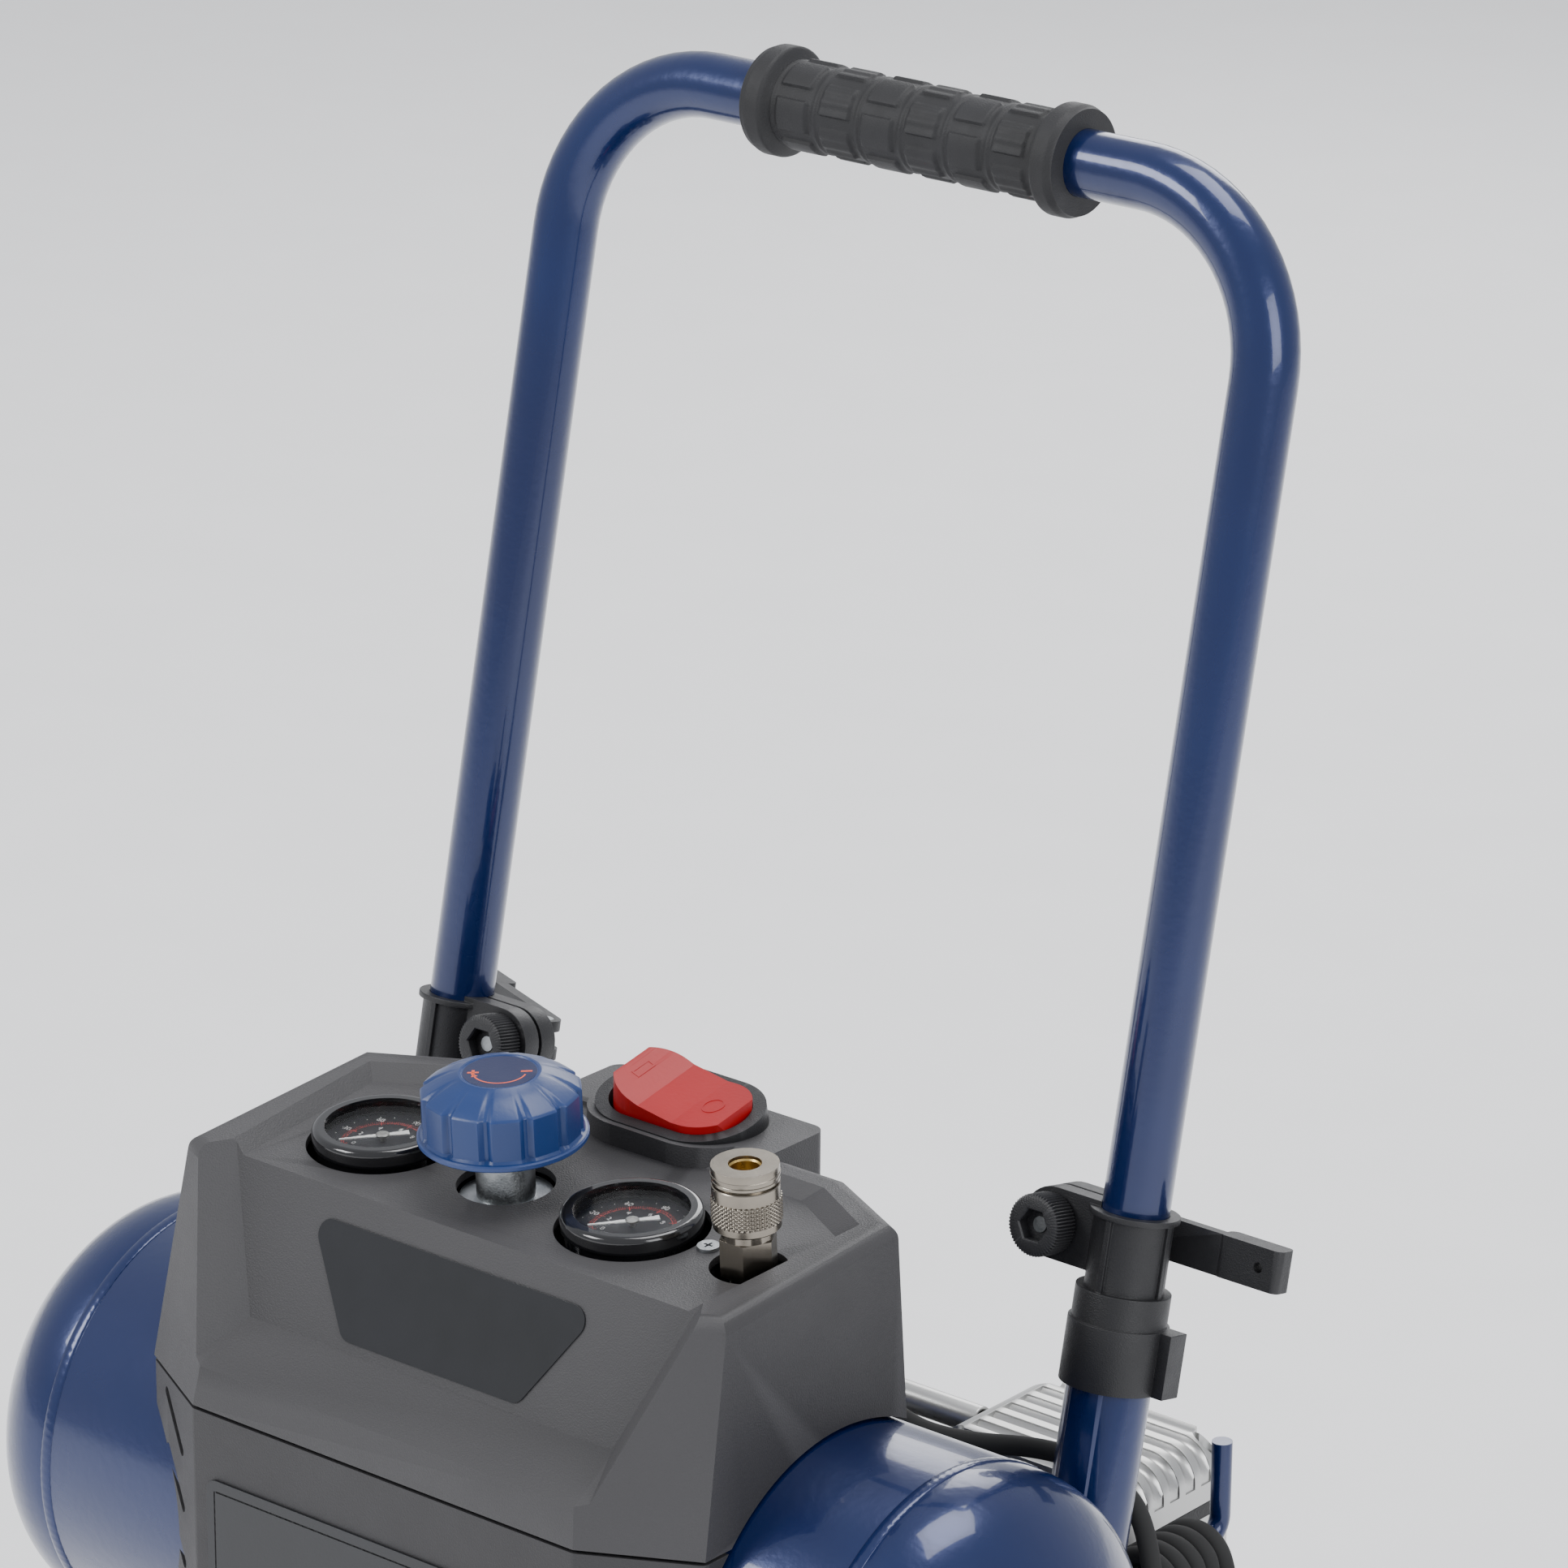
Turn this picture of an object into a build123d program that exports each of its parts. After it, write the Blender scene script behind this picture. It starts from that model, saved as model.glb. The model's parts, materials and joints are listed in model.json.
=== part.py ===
from build123d import *
import math
import os

os.makedirs("parts", exist_ok=True)

# Air compressor on a wheeled base. Origin at floor level, centred on the overall box, front towards -Y.

# ---- overall ----
depth_all = 392.0
seam_h = 290.0
front_y = -depth_all / 2 + 1.0
floor_z = 0.0

# ---- air tank ----
tank_r = 86.0
tank_wall = 2.5
tank_half = 185.0
cap_h = 65.0
tank_y = front_y + 97.5
tank_z = seam_h - 63.1

# ---- base tray, feet and wheels ----
tray_top = 46.0
tray_t = 3.0
tray_half = 186.0
tray_lip = 18.0
wheel_r = 89.0
wheel_w = 38.0
wheel_in = 200.0
axle_r = 6.35
axle_y = depth_all / 2 - wheel_r
axle_fit = 0.05

# ---- handle ----
post_x = 166.85
post_r = 15.875
post_wall = 1.6
tube_r = 12.7
tube_wall = 1.5
lean = 12.05
post_y = front_y + 213.0
bar_up = 450.0
bend_r = 65.0
tube_foot = -12.0
grip_len = 148.0
slide_fit = 0.05
lean_s = math.sin(math.radians(lean))
lean_c = math.cos(math.radians(lean))

# ---- hood and front cover ----
hood_wall = 3.0
nose_x = 93.4
side_x = 135.7
nose_d = 22.6
panel_tilt = 3.58
panel_y = front_y + 84.6
panel_z = seam_h + 83.6
rim_up = 4.8
seam_gap = 1.4

# ---- gauges, regulator and coupler along one row ----
tank_gauge_x = -74.9
tool_gauge_x = 48.1
knob_x = -13.4
coupler_x = 103.1
gauge_r = 26.4
gauge_hole = 28.8
knob_r = 31.7
knob_lift = 19.0
stem_r = 11.0
pin_fit = 0.05

# ---- pressure switch ----
switch_x = 9.7
switch_y = front_y + 156.0
switch_z = seam_h + 99.8
switch_tilt = 11.0
bezel_len = 70.4
bezel_w = 45.0
rocker_len = 57.0
rocker_w = 33.4
rocker_tip = 10.0

# ---- pump ----
pump_y = front_y + 290.0
shaft_z = seam_h - 176.0
motor_r = 55.0
motor_half = 50.0
head_out = 144.0
head_w = 76.0
head_top = seam_h - 55.0
bore_x = 86.0
bore_r = 25.0

# ---- power cord ----
cord_d = 7.8
hook_r = 4.0
hook_up_z = seam_h - 77.0
hook_low_z = seam_h - 215.0
hank_y0 = front_y + 230.0
hank_w = 48.0


def tilt(side, along):
    """Plane square to one handle leg, a distance along it from seam height."""
    return Plane(
        origin=(side * post_x, post_y + along * lean_s, seam_h + along * lean_c),
        x_dir=(1, 0, 0),
        z_dir=(0, lean_s, lean_c),
    )


def panel(x, up=0.0):
    """Plane in the sloping control panel at a place along the gauge row."""
    s = math.sin(math.radians(panel_tilt))
    c = math.cos(math.radians(panel_tilt))
    return Plane(origin=(x, panel_y - up * s, panel_z + up * c), x_dir=(1, 0, 0), z_dir=(0, -s, c))


def across(x, y, z):
    """Plane square to X."""
    return Plane(origin=(x, y, z), x_dir=(0, 1, 0), z_dir=(1, 0, 0))


def back(x, y, z):
    """Plane square to Y, facing the rear."""
    return Plane(origin=(x, y, z), x_dir=(1, 0, 0), z_dir=(0, 1, 0))


def face_plane(a, b, c):
    """Plane through three points."""
    va = Vector(*a)
    vb = Vector(*b)
    vc = Vector(*c)
    return Plane(origin=va, x_dir=(vb - va), z_dir=(vb - va).cross(vc - va))


def local(x, y, z):
    """Point measured from the seam at the foot of the hood's front."""
    return (x, front_y + y, seam_h + z)


# ================= air tank =================

riser_x = -44.0
drain_x = 150.0
with BuildPart() as tank_shell:
    with BuildSketch(Plane(origin=(riser_x, panel_y + 4.0, tank_z + tank_r - 12))):
        Circle(11)
    extrude(amount=14.5)
    with BuildSketch(Plane(origin=(drain_x, tank_y, tank_z - tank_r - 5))):
        Circle(12)
    extrude(amount=9)
    with BuildSketch(across(-tank_half, tank_y, tank_z)):
        Circle(tank_r)
    extrude(amount=2 * tank_half)
    with BuildSketch(across(-tank_half, tank_y, tank_z)):
        Circle(tank_r - tank_wall)
    extrude(amount=2 * tank_half, mode=Mode.SUBTRACT)
    with BuildSketch(Plane(origin=(riser_x, panel_y + 4.0, tank_z + tank_r - 20))):
        Circle(5)
    extrude(amount=40, mode=Mode.SUBTRACT)
tank_shell.part.label = "tank_shell"
export_step(tank_shell.part, "parts/tank_shell.step")

knuckle = 0.44 * tank_r
dish = cap_h - 6.0
reach = tank_r - knuckle
crown = (dish * dish + reach * reach - knuckle * knuckle) / (2 * (dish - knuckle))
drop = crown - dish - 6.0
turn = math.atan2(reach, 6.0 + drop)
lip = tank_r - tank_wall
thick = tank_wall

with BuildPart() as tank_end_caps:
    for side in (-1, 1):
        cap_plane = Plane(origin=(side * tank_half, tank_y, tank_z), x_dir=(0, 1, 0), z_dir=(0, 0, -side))
        with BuildSketch(cap_plane):
            with BuildLine():
                mid_o = turn + (math.pi / 2 - turn) / 2
                k_o = (reach + knuckle * math.sin(mid_o), 6.0 + knuckle * math.cos(mid_o))
                t_o = (crown * math.sin(turn), crown * math.cos(turn) - drop)
                c_o = (crown * math.sin(turn / 2), crown * math.cos(turn / 2) - drop)
                ki = knuckle - thick
                ci = crown - thick
                k_i = (reach + ki * math.sin(mid_o), 6.0 + ki * math.cos(mid_o))
                t_i = (ci * math.sin(turn), ci * math.cos(turn) - drop)
                c_i = (ci * math.sin(turn / 2), ci * math.cos(turn / 2) - drop)
                Polyline((lip, -8), (lip, 0), (tank_r, 0), (tank_r, 6))
                ThreePointArc((tank_r, 6), k_o, t_o)
                ThreePointArc(t_o, c_o, (0, cap_h))
                Line((0, cap_h), (0, cap_h - thick))
                ThreePointArc((0, cap_h - thick), c_i, t_i)
                ThreePointArc(t_i, k_i, (lip, 6))
                Polyline((lip, 6), (lip - thick, 2), (lip - thick, -8), (lip, -8))
            make_face()
        revolve(axis=Axis((0, tank_y, tank_z), (1, 0, 0)))
tank_end_caps.part.label = "tank_end_caps"
export_step(tank_end_caps.part, "parts/tank_end_caps.step")

leg_w = 110.0
with BuildPart() as tank_legs:
    for side in (-1, 1):
        with BuildSketch(across(side * 118.0 - 2.0, tank_y, tray_top)):
            with BuildLine():
                Polyline((-leg_w / 2, 0), (leg_w / 2, 0), (leg_w / 2 - 8, 112), (-leg_w / 2 + 8, 112), close=True)
            make_face()
        extrude(amount=4)
        with BuildSketch(across(side * 118.0 - 14.0, tank_y, tray_top)):
            with Locations((0, 1.5)):
                Rectangle(leg_w - 10, 3)
        extrude(amount=28)
    with BuildSketch(across(-tank_half, tank_y, tank_z)):
        Circle(tank_r)
    extrude(amount=2 * tank_half, mode=Mode.SUBTRACT)
tank_legs.part.label = "tank_legs"
export_step(tank_legs.part, "parts/tank_legs.step")

# ================= base =================

tray_front = front_y + 9.0
tray_back = front_y + 347.0
tray_len = tray_back - tray_front
tray_mid = (tray_back + tray_front) / 2
foot_at = [(-120.0, front_y + 34.0), (120.0, front_y + 34.0)]
mount_at = [(sx * 80.0, pump_y + sy * 25.0) for sx in (-1, 1) for sy in (-1, 1)]

with BuildPart() as base_tray:
    with BuildSketch(Plane.XY.offset(tray_top - tray_t)):
        with Locations((0, tray_mid)):
            RectangleRounded(2 * tray_half, tray_len, 12)
    extrude(amount=tray_t)
    with BuildSketch(Plane.XY.offset(tray_top - tray_lip)):
        with Locations((0, tray_mid)):
            RectangleRounded(2 * tray_half, tray_len, 12)
            RectangleRounded(2 * tray_half - 6, tray_len - 6, 9, mode=Mode.SUBTRACT)
    extrude(amount=tray_lip)
    for side in (-1, 1):
        with BuildSketch(across(side * (tray_half + 2) - 2, axle_y, tray_top - tray_lip)):
            with Locations((0, 35)):
                RectangleRounded(48, 70, 4)
            with Locations((0, wheel_r - tray_top + tray_lip)):
                Circle(22)
        extrude(amount=4)
        with BuildSketch(across(side * (tray_half + 2) - 2, axle_y, wheel_r)):
            Circle(axle_r)
        extrude(amount=4, mode=Mode.SUBTRACT)
    with BuildSketch(Plane.XY.offset(tray_top - tray_t)):
        with Locations(*foot_at):
            Circle(4)
    extrude(amount=tray_t, mode=Mode.SUBTRACT)
    with BuildSketch(back(0, tray_front - 1, tray_top - tray_lip / 2)):
        with Locations((-70, 0), (70, 0)):
            Circle(2.6)
    extrude(amount=10, mode=Mode.SUBTRACT)
base_tray.part.label = "base_tray"
export_step(base_tray.part, "parts/base_tray.step")

with BuildPart() as rubber_feet:
    with BuildSketch(Plane.XY.offset(floor_z)):
        with Locations(*foot_at):
            Circle(16)
    extrude(amount=6)
    with BuildSketch(Plane.XY.offset(floor_z + 6)):
        with Locations(*foot_at):
            Circle(18)
    extrude(amount=tray_top - tray_t - 6)
    with BuildSketch(Plane.XY.offset(tray_top - tray_t)):
        with Locations(*foot_at):
            Circle(4)
    extrude(amount=tray_t)
    with BuildSketch(Plane.XY.offset(tray_top)):
        with Locations(*foot_at):
            Circle(6.5)
    extrude(amount=4)
rubber_feet.part.label = "rubber_feet"
export_step(rubber_feet.part, "parts/rubber_feet.step")

with BuildPart() as wheel_bolts:
    for side in (-1, 1):
        x0 = side * (tray_half + 4)
        with BuildSketch(Plane(origin=(side * (tray_half - 12), axle_y, wheel_r), z_dir=(side, 0, 0))):
            Circle(axle_r)
        extrude(amount=wheel_in + wheel_w + 0.4 - tray_half + 12)
        with BuildSketch(Plane(origin=(side * (tray_half - 10), axle_y, wheel_r), z_dir=(side, 0, 0))):
            RegularPolygon(10.5, 6)
        extrude(amount=10)
        with BuildSketch(Plane(origin=(x0, axle_y, wheel_r), z_dir=(side, 0, 0))):
            Circle(10)
        extrude(amount=wheel_in - 0.4 - tray_half - 4)
        with BuildSketch(Plane(origin=(side * (wheel_in + wheel_w + 0.4), axle_y, wheel_r), z_dir=(side, 0, 0))):
            RegularPolygon(11, 6)
        extrude(amount=7)
wheel_bolts.part.label = "wheel_bolts"
export_step(wheel_bolts.part, "parts/wheel_bolts.step")

rim_r = wheel_r - 23.0
for side, tag in ((-1, "left"), (1, "right")):
    inner = Plane(origin=(side * wheel_in, axle_y, wheel_r), x_dir=(0, 1, 0), z_dir=(side, 0, 0))
    with BuildPart() as wheel_hub:
        with BuildSketch(inner):
            Circle(rim_r)
            Circle(rim_r - 4, mode=Mode.SUBTRACT)
        extrude(amount=wheel_w)
        with BuildSketch(inner.offset(15)):
            Circle(rim_r - 2)
        extrude(amount=6)
        with BuildSketch(inner):
            Circle(17)
        extrude(amount=wheel_w)
        with BuildSketch(inner):
            Circle(axle_r + axle_fit)
        extrude(amount=wheel_w, mode=Mode.SUBTRACT)
        with BuildSketch(inner):
            with PolarLocations(40, 6):
                Circle(11)
        extrude(amount=wheel_w, mode=Mode.SUBTRACT)
    wheel_hub.part.label = "wheel_hub_" + tag
    export_step(wheel_hub.part, "parts/wheel_hub_" + tag + ".step")
    with BuildPart() as tyre:
        with BuildSketch(inner):
            Circle(wheel_r)
            Circle(rim_r, mode=Mode.SUBTRACT)
        extrude(amount=wheel_w)
        outer_edges = tyre.edges().filter_by(GeomType.CIRCLE).sort_by(SortBy.RADIUS)[-2:]
        fillet(outer_edges, radius=9)
    tyre.part.label = "tyre_" + tag
    export_step(tyre.part, "parts/tyre_" + tag + ".step")

# ================= handle posts and clamps =================

post_top = 45.5
with BuildPart() as handle_posts:
    for side in (-1, 1):
        with BuildSketch(tilt(side, -270)):
            Circle(post_r)
            Circle(post_r - post_wall, mode=Mode.SUBTRACT)
        extrude(amount=270 + post_top)
    split(bisect_by=Plane.XY.offset(tray_top), keep=Keep.TOP)
    with BuildSketch(across(-tank_half - cap_h, tank_y, tank_z)):
        Circle(tank_r)
    extrude(amount=2 * tank_half + 2 * cap_h, mode=Mode.SUBTRACT)
handle_posts.part.label = "handle_posts"
export_step(handle_posts.part, "parts/handle_posts.step")

clamp_low = 11.4
clamp_top = 77.5
sleeve_r = 19.0
sleeve_h = 24.5
waist_r = 17.9
shoulder_h = 2.5
collar_low = post_top + shoulder_h
collar_r = 14.9
flange_r = 16.9
flange_h = 2.2
rib_w = 2.4
rib_out = 1.5
lug_w = 10.0
lug_out = 5.0
ear_x = 30.0
ear_r = 13.5
ear_d = 18.0
slot_w = 1.6
nut_along = 66.0
screw_r = 3.0
hub_y = 16.0
lever_len = 84.0
lever_low = 59.0
lever_h = 16.0
lever_open_deg = 27.0


def nut_axis(side):
    """Plane square to the clamp screw, facing the rear."""
    return Plane(tilt(side, nut_along).origin, x_dir=(1, 0, 0), z_dir=(0, lean_c, -lean_s))


with BuildPart() as clamp_bodies:
    for side in (-1, 1):
        inb = -side
        screw_plane = nut_axis(side)
        with BuildSketch(tilt(side, clamp_low)):
            Circle(sleeve_r)
            with Locations((-inb * (sleeve_r + lug_out - lug_w / 2), lug_w / 2)):
                Rectangle(lug_w, lug_w)
        extrude(amount=sleeve_h)
        with BuildSketch(tilt(side, clamp_low)):
            Circle(waist_r)
        extrude(amount=collar_low - clamp_low)
        with BuildSketch(tilt(side, collar_low)):
            Circle(collar_r)
            with Locations((0, -collar_r), (0, collar_r)):
                Rectangle(rib_w, 2 * rib_out)
            with Locations((-inb * collar_r, 0)):
                Rectangle(2 * rib_out, rib_w)
        extrude(amount=clamp_top - collar_low)
        with BuildSketch(tilt(side, clamp_top - flange_h)):
            Circle(flange_r)
        extrude(amount=flange_h)
        with BuildSketch(screw_plane.offset(-ear_d / 2)):
            with Locations((inb * ear_x, 0)):
                Circle(ear_r)
            with Locations((inb * ear_x / 2, 0)):
                Rectangle(ear_x, 2 * ear_r)
        extrude(amount=ear_d)
        with BuildSketch(tilt(side, clamp_low)):
            Circle(post_r)
        extrude(amount=post_top - clamp_low, mode=Mode.SUBTRACT)
        with BuildSketch(tilt(side, post_top)):
            Circle(tube_r + slide_fit)
        extrude(amount=nut_along + 2 * ear_r - post_top, mode=Mode.SUBTRACT)
        with BuildSketch(tilt(side, collar_low + 1)):
            with Locations((inb * ear_x, 0)):
                Rectangle(2 * ear_x, slot_w)
        extrude(amount=nut_along + ear_r - collar_low, mode=Mode.SUBTRACT)
        with BuildSketch(screw_plane.offset(-ear_d)):
            with Locations((inb * ear_x, 0)):
                Circle(screw_r)
        extrude(amount=2 * ear_d, mode=Mode.SUBTRACT)
clamp_bodies.part.label = "clamp_bodies"
export_step(clamp_bodies.part, "parts/clamp_bodies.step")

with BuildPart() as clamp_screws:
    for side in (-1, 1):
        with BuildSketch(nut_axis(side).offset(-16.5)):
            with Locations((-side * ear_x, 0)):
                Circle(screw_r)
        extrude(amount=16.5 + hub_y - 2.0)
        with BuildSketch(tilt(side, nut_along - lever_h / 2)):
            with Locations((-side * ear_x, hub_y)):
                Circle(4)
        extrude(amount=lever_h)
clamp_screws.part.label = "clamp_screws"
export_step(clamp_screws.part, "parts/clamp_screws.step")

for side, tag in ((-1, "left"), (1, "right")):
    inb = -side
    nut_plane = nut_axis(side)
    with BuildPart() as clamp_nut:
        with BuildSketch(nut_plane.offset(-21)):
            with Locations((inb * ear_x, 0)):
                Circle(11.6)
        extrude(amount=11.8)
        with BuildSketch(nut_plane.offset(-21)):
            with Locations((inb * ear_x, 0)):
                RegularPolygon(6, 6)
        extrude(amount=5, mode=Mode.SUBTRACT)
        with BuildSketch(nut_plane.offset(-21)):
            with Locations((inb * ear_x, 0)):
                Circle(screw_r + slide_fit)
        extrude(amount=12, mode=Mode.SUBTRACT)
    clamp_nut.part.label = "clamp_nut_" + tag
    export_step(clamp_nut.part, "parts/clamp_nut_" + tag + ".step")

    open_deg = 0.0 if side > 0 else lever_open_deg
    lever_at = tilt(side, nut_along - lever_h / 2)
    swing = math.radians(open_deg)
    lever_plane = Plane(
        origin=lever_at.from_local_coords(Vector(inb * ear_x, hub_y, 0)),
        x_dir=Vector(1, 0, 0) * math.cos(swing) + Vector(0, lean_c, -lean_s) * (side * math.sin(swing)),
        z_dir=(0, lean_s, lean_c),
    )
    with BuildPart() as clamp_lever:
        with BuildSketch(lever_plane):
            Circle(7)
            with Locations((side * (lever_len - 24) / 2, 4.5)):
                RectangleRounded(lever_len - 22, 5, 1.5)
            with Locations((side * (lever_len - 14), 6.5)):
                RectangleRounded(28, 10, 3)
            Circle(4 + pin_fit, mode=Mode.SUBTRACT)
        extrude(amount=lever_h)
        with BuildSketch(lever_plane.offset(lever_h / 2 - 3.6)):
            with Locations((-side * 2.5, 0)):
                Rectangle(15, 24)
        extrude(amount=7.2, mode=Mode.SUBTRACT)
        hole_plane = Plane(
            origin=lever_plane.from_local_coords(Vector(side * (lever_len - 9), -6, lever_h / 2)),
            x_dir=lever_plane.x_dir,
            z_dir=lever_plane.y_dir,
        )
        with BuildSketch(hole_plane):
            Circle(2)
        extrude(amount=20, mode=Mode.SUBTRACT)
    clamp_lever.part.label = "clamp_lever_" + tag
    export_step(clamp_lever.part, "parts/clamp_lever_" + tag + ".step")

# ================= sliding handle =================


def on_leg(x, along):
    return (x, post_y + along * lean_s, seam_h + along * lean_c)


with BuildPart() as handle_tube:
    with BuildLine() as handle_path:
        FilletPolyline(
            on_leg(-post_x, tube_foot),
            on_leg(-post_x, bar_up),
            on_leg(post_x, bar_up),
            on_leg(post_x, tube_foot),
            radius=bend_r,
        )
    with BuildSketch(tilt(-1, tube_foot)):
        Circle(tube_r)
        Circle(tube_r - tube_wall, mode=Mode.SUBTRACT)
    sweep(path=handle_path.line)
handle_tube.part.label = "handle_tube"
export_step(handle_tube.part, "parts/handle_tube.step")

bar_y = post_y + bar_up * lean_s
bar_z = seam_h + bar_up * lean_c
with BuildPart() as handle_grip:
    with BuildSketch(across(-grip_len / 2, bar_y, bar_z)):
        Circle(17.5)
    extrude(amount=grip_len)
    for x0 in (-grip_len / 2, grip_len / 2 - 12):
        with BuildSketch(across(x0, bar_y, bar_z)):
            Circle(21.5)
        extrude(amount=12)
    fillet(handle_grip.edges().filter_by(GeomType.CIRCLE).group_by(SortBy.RADIUS)[-1], radius=3)
    with BuildSketch(across(-grip_len / 2, bar_y, bar_z)):
        Circle(tube_r)
    extrude(amount=grip_len, mode=Mode.SUBTRACT)
handle_grip.part.label = "handle_grip"
export_step(handle_grip.part, "parts/handle_grip.step")

# ================= cord hooks and cord =================

with BuildPart() as cord_hooks:
    for z0, tip in ((hook_up_z, 39.0), (hook_low_z, -22.0)):
        with BuildLine() as hook_path:
            FilletPolyline(
                (post_x, front_y + 150.0, z0),
                (post_x, front_y + 288.0, z0),
                (post_x, front_y + 288.0, z0 + tip),
                radius=9,
            )
        with BuildSketch(back(post_x, front_y + 150.0, z0)):
            Circle(hook_r)
        sweep(path=hook_path.line)
    with BuildSketch(tilt(1, -300)):
        Circle(post_r)
        with Locations((0, -40)):
            Rectangle(40, 80)
    extrude(amount=300, mode=Mode.SUBTRACT)
cord_hooks.part.label = "cord_hooks"
export_step(cord_hooks.part, "parts/cord_hooks.step")

hank_in = hook_r + 5.0
hank_out = hank_in + cord_d
hank_mid = (hook_up_z + hook_low_z) / 2
hank_top = hook_up_z + hook_r
hank_low = hook_low_z - hook_r
with BuildPart() as power_cord_hank:
    with BuildSketch(back(post_x, hank_y0, hank_mid)):
        SlotOverall(hank_top - hank_low + 2 * cord_d, 2 * hank_out, rotation=90)
        SlotOverall(hank_top - hank_low, 2 * hank_in, rotation=90, mode=Mode.SUBTRACT)
    extrude(amount=hank_w)
power_cord_hank.part.label = "power_cord_hank"
export_step(power_cord_hank.part, "parts/power_cord_hank.step")

relief_at = Vector(*local(48, 181, 10))
first_bend = Vector(*local(78, 198, -22))
relief_dir = (first_bend - relief_at).normalized()
lead_start = relief_at + relief_dir * 15


def corner_radii(points):
    """Largest tangent arc at each corner that keeps to 0.45 of the shorter run."""
    radii = []
    for i in range(1, len(points) - 1):
        a = Vector(*points[i]) - Vector(*points[i - 1])
        b = Vector(*points[i + 1]) - Vector(*points[i])
        bend = math.radians(a.get_angle(b))
        radii.append(0.45 * min(a.length, b.length) / math.tan(bend / 2))
    return radii


lead_points = [
    tuple(lead_start),
    tuple(first_bend),
    local(99, 206, -29.5),
    local(133, 231, -31),
    local(157, 237, -40),
    local(171, 236.5, -54),
    local(179.8, 234.2, -80),
]
tail_points = [
    (post_x + 13.2, hank_y0 + hank_w, seam_h - 100.0),
    (post_x + 13.2, hank_y0 + hank_w + 28.0, seam_h - 100.0),
    (post_x + 11.6, hank_y0 + hank_w + 48.0, seam_h - 118.0),
    (post_x + 8.6, hank_y0 + hank_w + 57.0, seam_h - 144.0),
    (post_x + 5.6, hank_y0 + hank_w + 55.0, seam_h - 169.0),
]
plug_dir = (Vector(*tail_points[-1]) - Vector(*tail_points[-2])).normalized()
with BuildPart() as power_cord:
    with BuildLine() as lead_path:
        FilletPolyline(*lead_points, radius=corner_radii(lead_points))
    with BuildSketch(Plane(origin=lead_points[0], z_dir=(Vector(*lead_points[1]) - Vector(*lead_points[0])))):
        Circle(cord_d / 2)
    sweep(path=lead_path.line)
    with BuildSketch(Plane(origin=relief_at - relief_dir * 9, z_dir=relief_dir)):
        Circle(7.5)
    with BuildSketch(Plane(origin=lead_start, z_dir=relief_dir)):
        Circle(5.4)
    loft()
    split(bisect_by=Plane(origin=local(0, 180, 0), z_dir=(0, 1, 0)), keep=Keep.TOP)
    with BuildLine() as tail_path:
        FilletPolyline(*tail_points, radius=corner_radii(tail_points))
    with BuildSketch(Plane(origin=tail_points[0], z_dir=(Vector(*tail_points[1]) - Vector(*tail_points[0])))):
        Circle(cord_d / 2)
    sweep(path=tail_path.line)
power_cord.part.label = "power_cord"
export_step(power_cord.part, "parts/power_cord.step")
print("lead radii", [round(r, 1) for r in corner_radii(lead_points)], "length", lead_path.wires()[0].length)
print("tail radii", [round(r, 1) for r in corner_radii(tail_points)], "length", tail_path.wires()[0].length)
cord_run = lead_path.wires()[0].length + tail_path.wires()[0].length
print("cord volume", power_cord.part.volume, "section x length", math.pi * cord_d ** 2 / 4 * cord_run)

plug_plane = Plane(origin=tail_points[-1], x_dir=(1, 0, 0), z_dir=plug_dir)
with BuildPart() as power_plug:
    with BuildSketch(plug_plane):
        Circle(6)
    with BuildSketch(plug_plane.offset(10)):
        RectangleRounded(22, 18, 5)
    loft()
    with BuildSketch(plug_plane.offset(10)):
        RectangleRounded(22, 18, 5)
    extrude(amount=22)
    for x0 in (-6.35, 6.35):
        with BuildSketch(plug_plane.offset(32)):
            with Locations((x0, -2)):
                Rectangle(1.5, 6.3)
        extrude(amount=16)
    with BuildSketch(plug_plane.offset(32)):
        with Locations((0, 5.5)):
            Circle(2.4)
    extrude(amount=18)
power_plug.part.label = "power_plug"
export_step(power_plug.part, "parts/power_plug.step")

# ================= hood =================

rim_z = panel_z + rim_up
tilt_s = math.sin(math.radians(panel_tilt))
tilt_c = math.cos(math.radians(panel_tilt))
nose_lean = math.radians(11.5)
chamfer_len = math.hypot(side_x - nose_x, nose_d)
cham_nx = nose_d / chamfer_len
cham_ny = -(side_x - nose_x) / chamfer_len
cham_up = math.tan(nose_lean)
side_up = math.tan(math.radians(3.2))

hood_faces = [
    Plane(origin=local(0, 0, 0), z_dir=(0, -1, 0.17)),
    Plane(origin=local(0, 155, 0), z_dir=(0, 1, 0.01)),
    Plane(origin=(0, panel_y, rim_z), z_dir=(0, -tilt_s, tilt_c)),
]
for sx in (-1, 1):
    hood_faces.append(Plane(origin=local(sx * nose_x, 0, 0), z_dir=(sx * cham_nx, cham_ny, cham_up)))
    hood_faces.append(Plane(origin=local(sx * side_x, 30, 0), z_dir=(sx, 0, side_up)))
    hood_faces.append(Plane(origin=local(sx * 131.0, 137.0, 40), z_dir=(sx * 0.44, 0.9, 0.04)))

panel_face = Plane(origin=(0, panel_y, panel_z), z_dir=(0, -tilt_s, tilt_c))
ledge_face = face_plane(local(-88, 3.0, 15.5), local(88, 3.0, 15.5), local(0, 26.4, 27.9))
slope_face = face_plane(local(-88, 26.4, 27.9), local(88, 26.4, 27.9), local(0, 42.5, 73.5))

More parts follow.
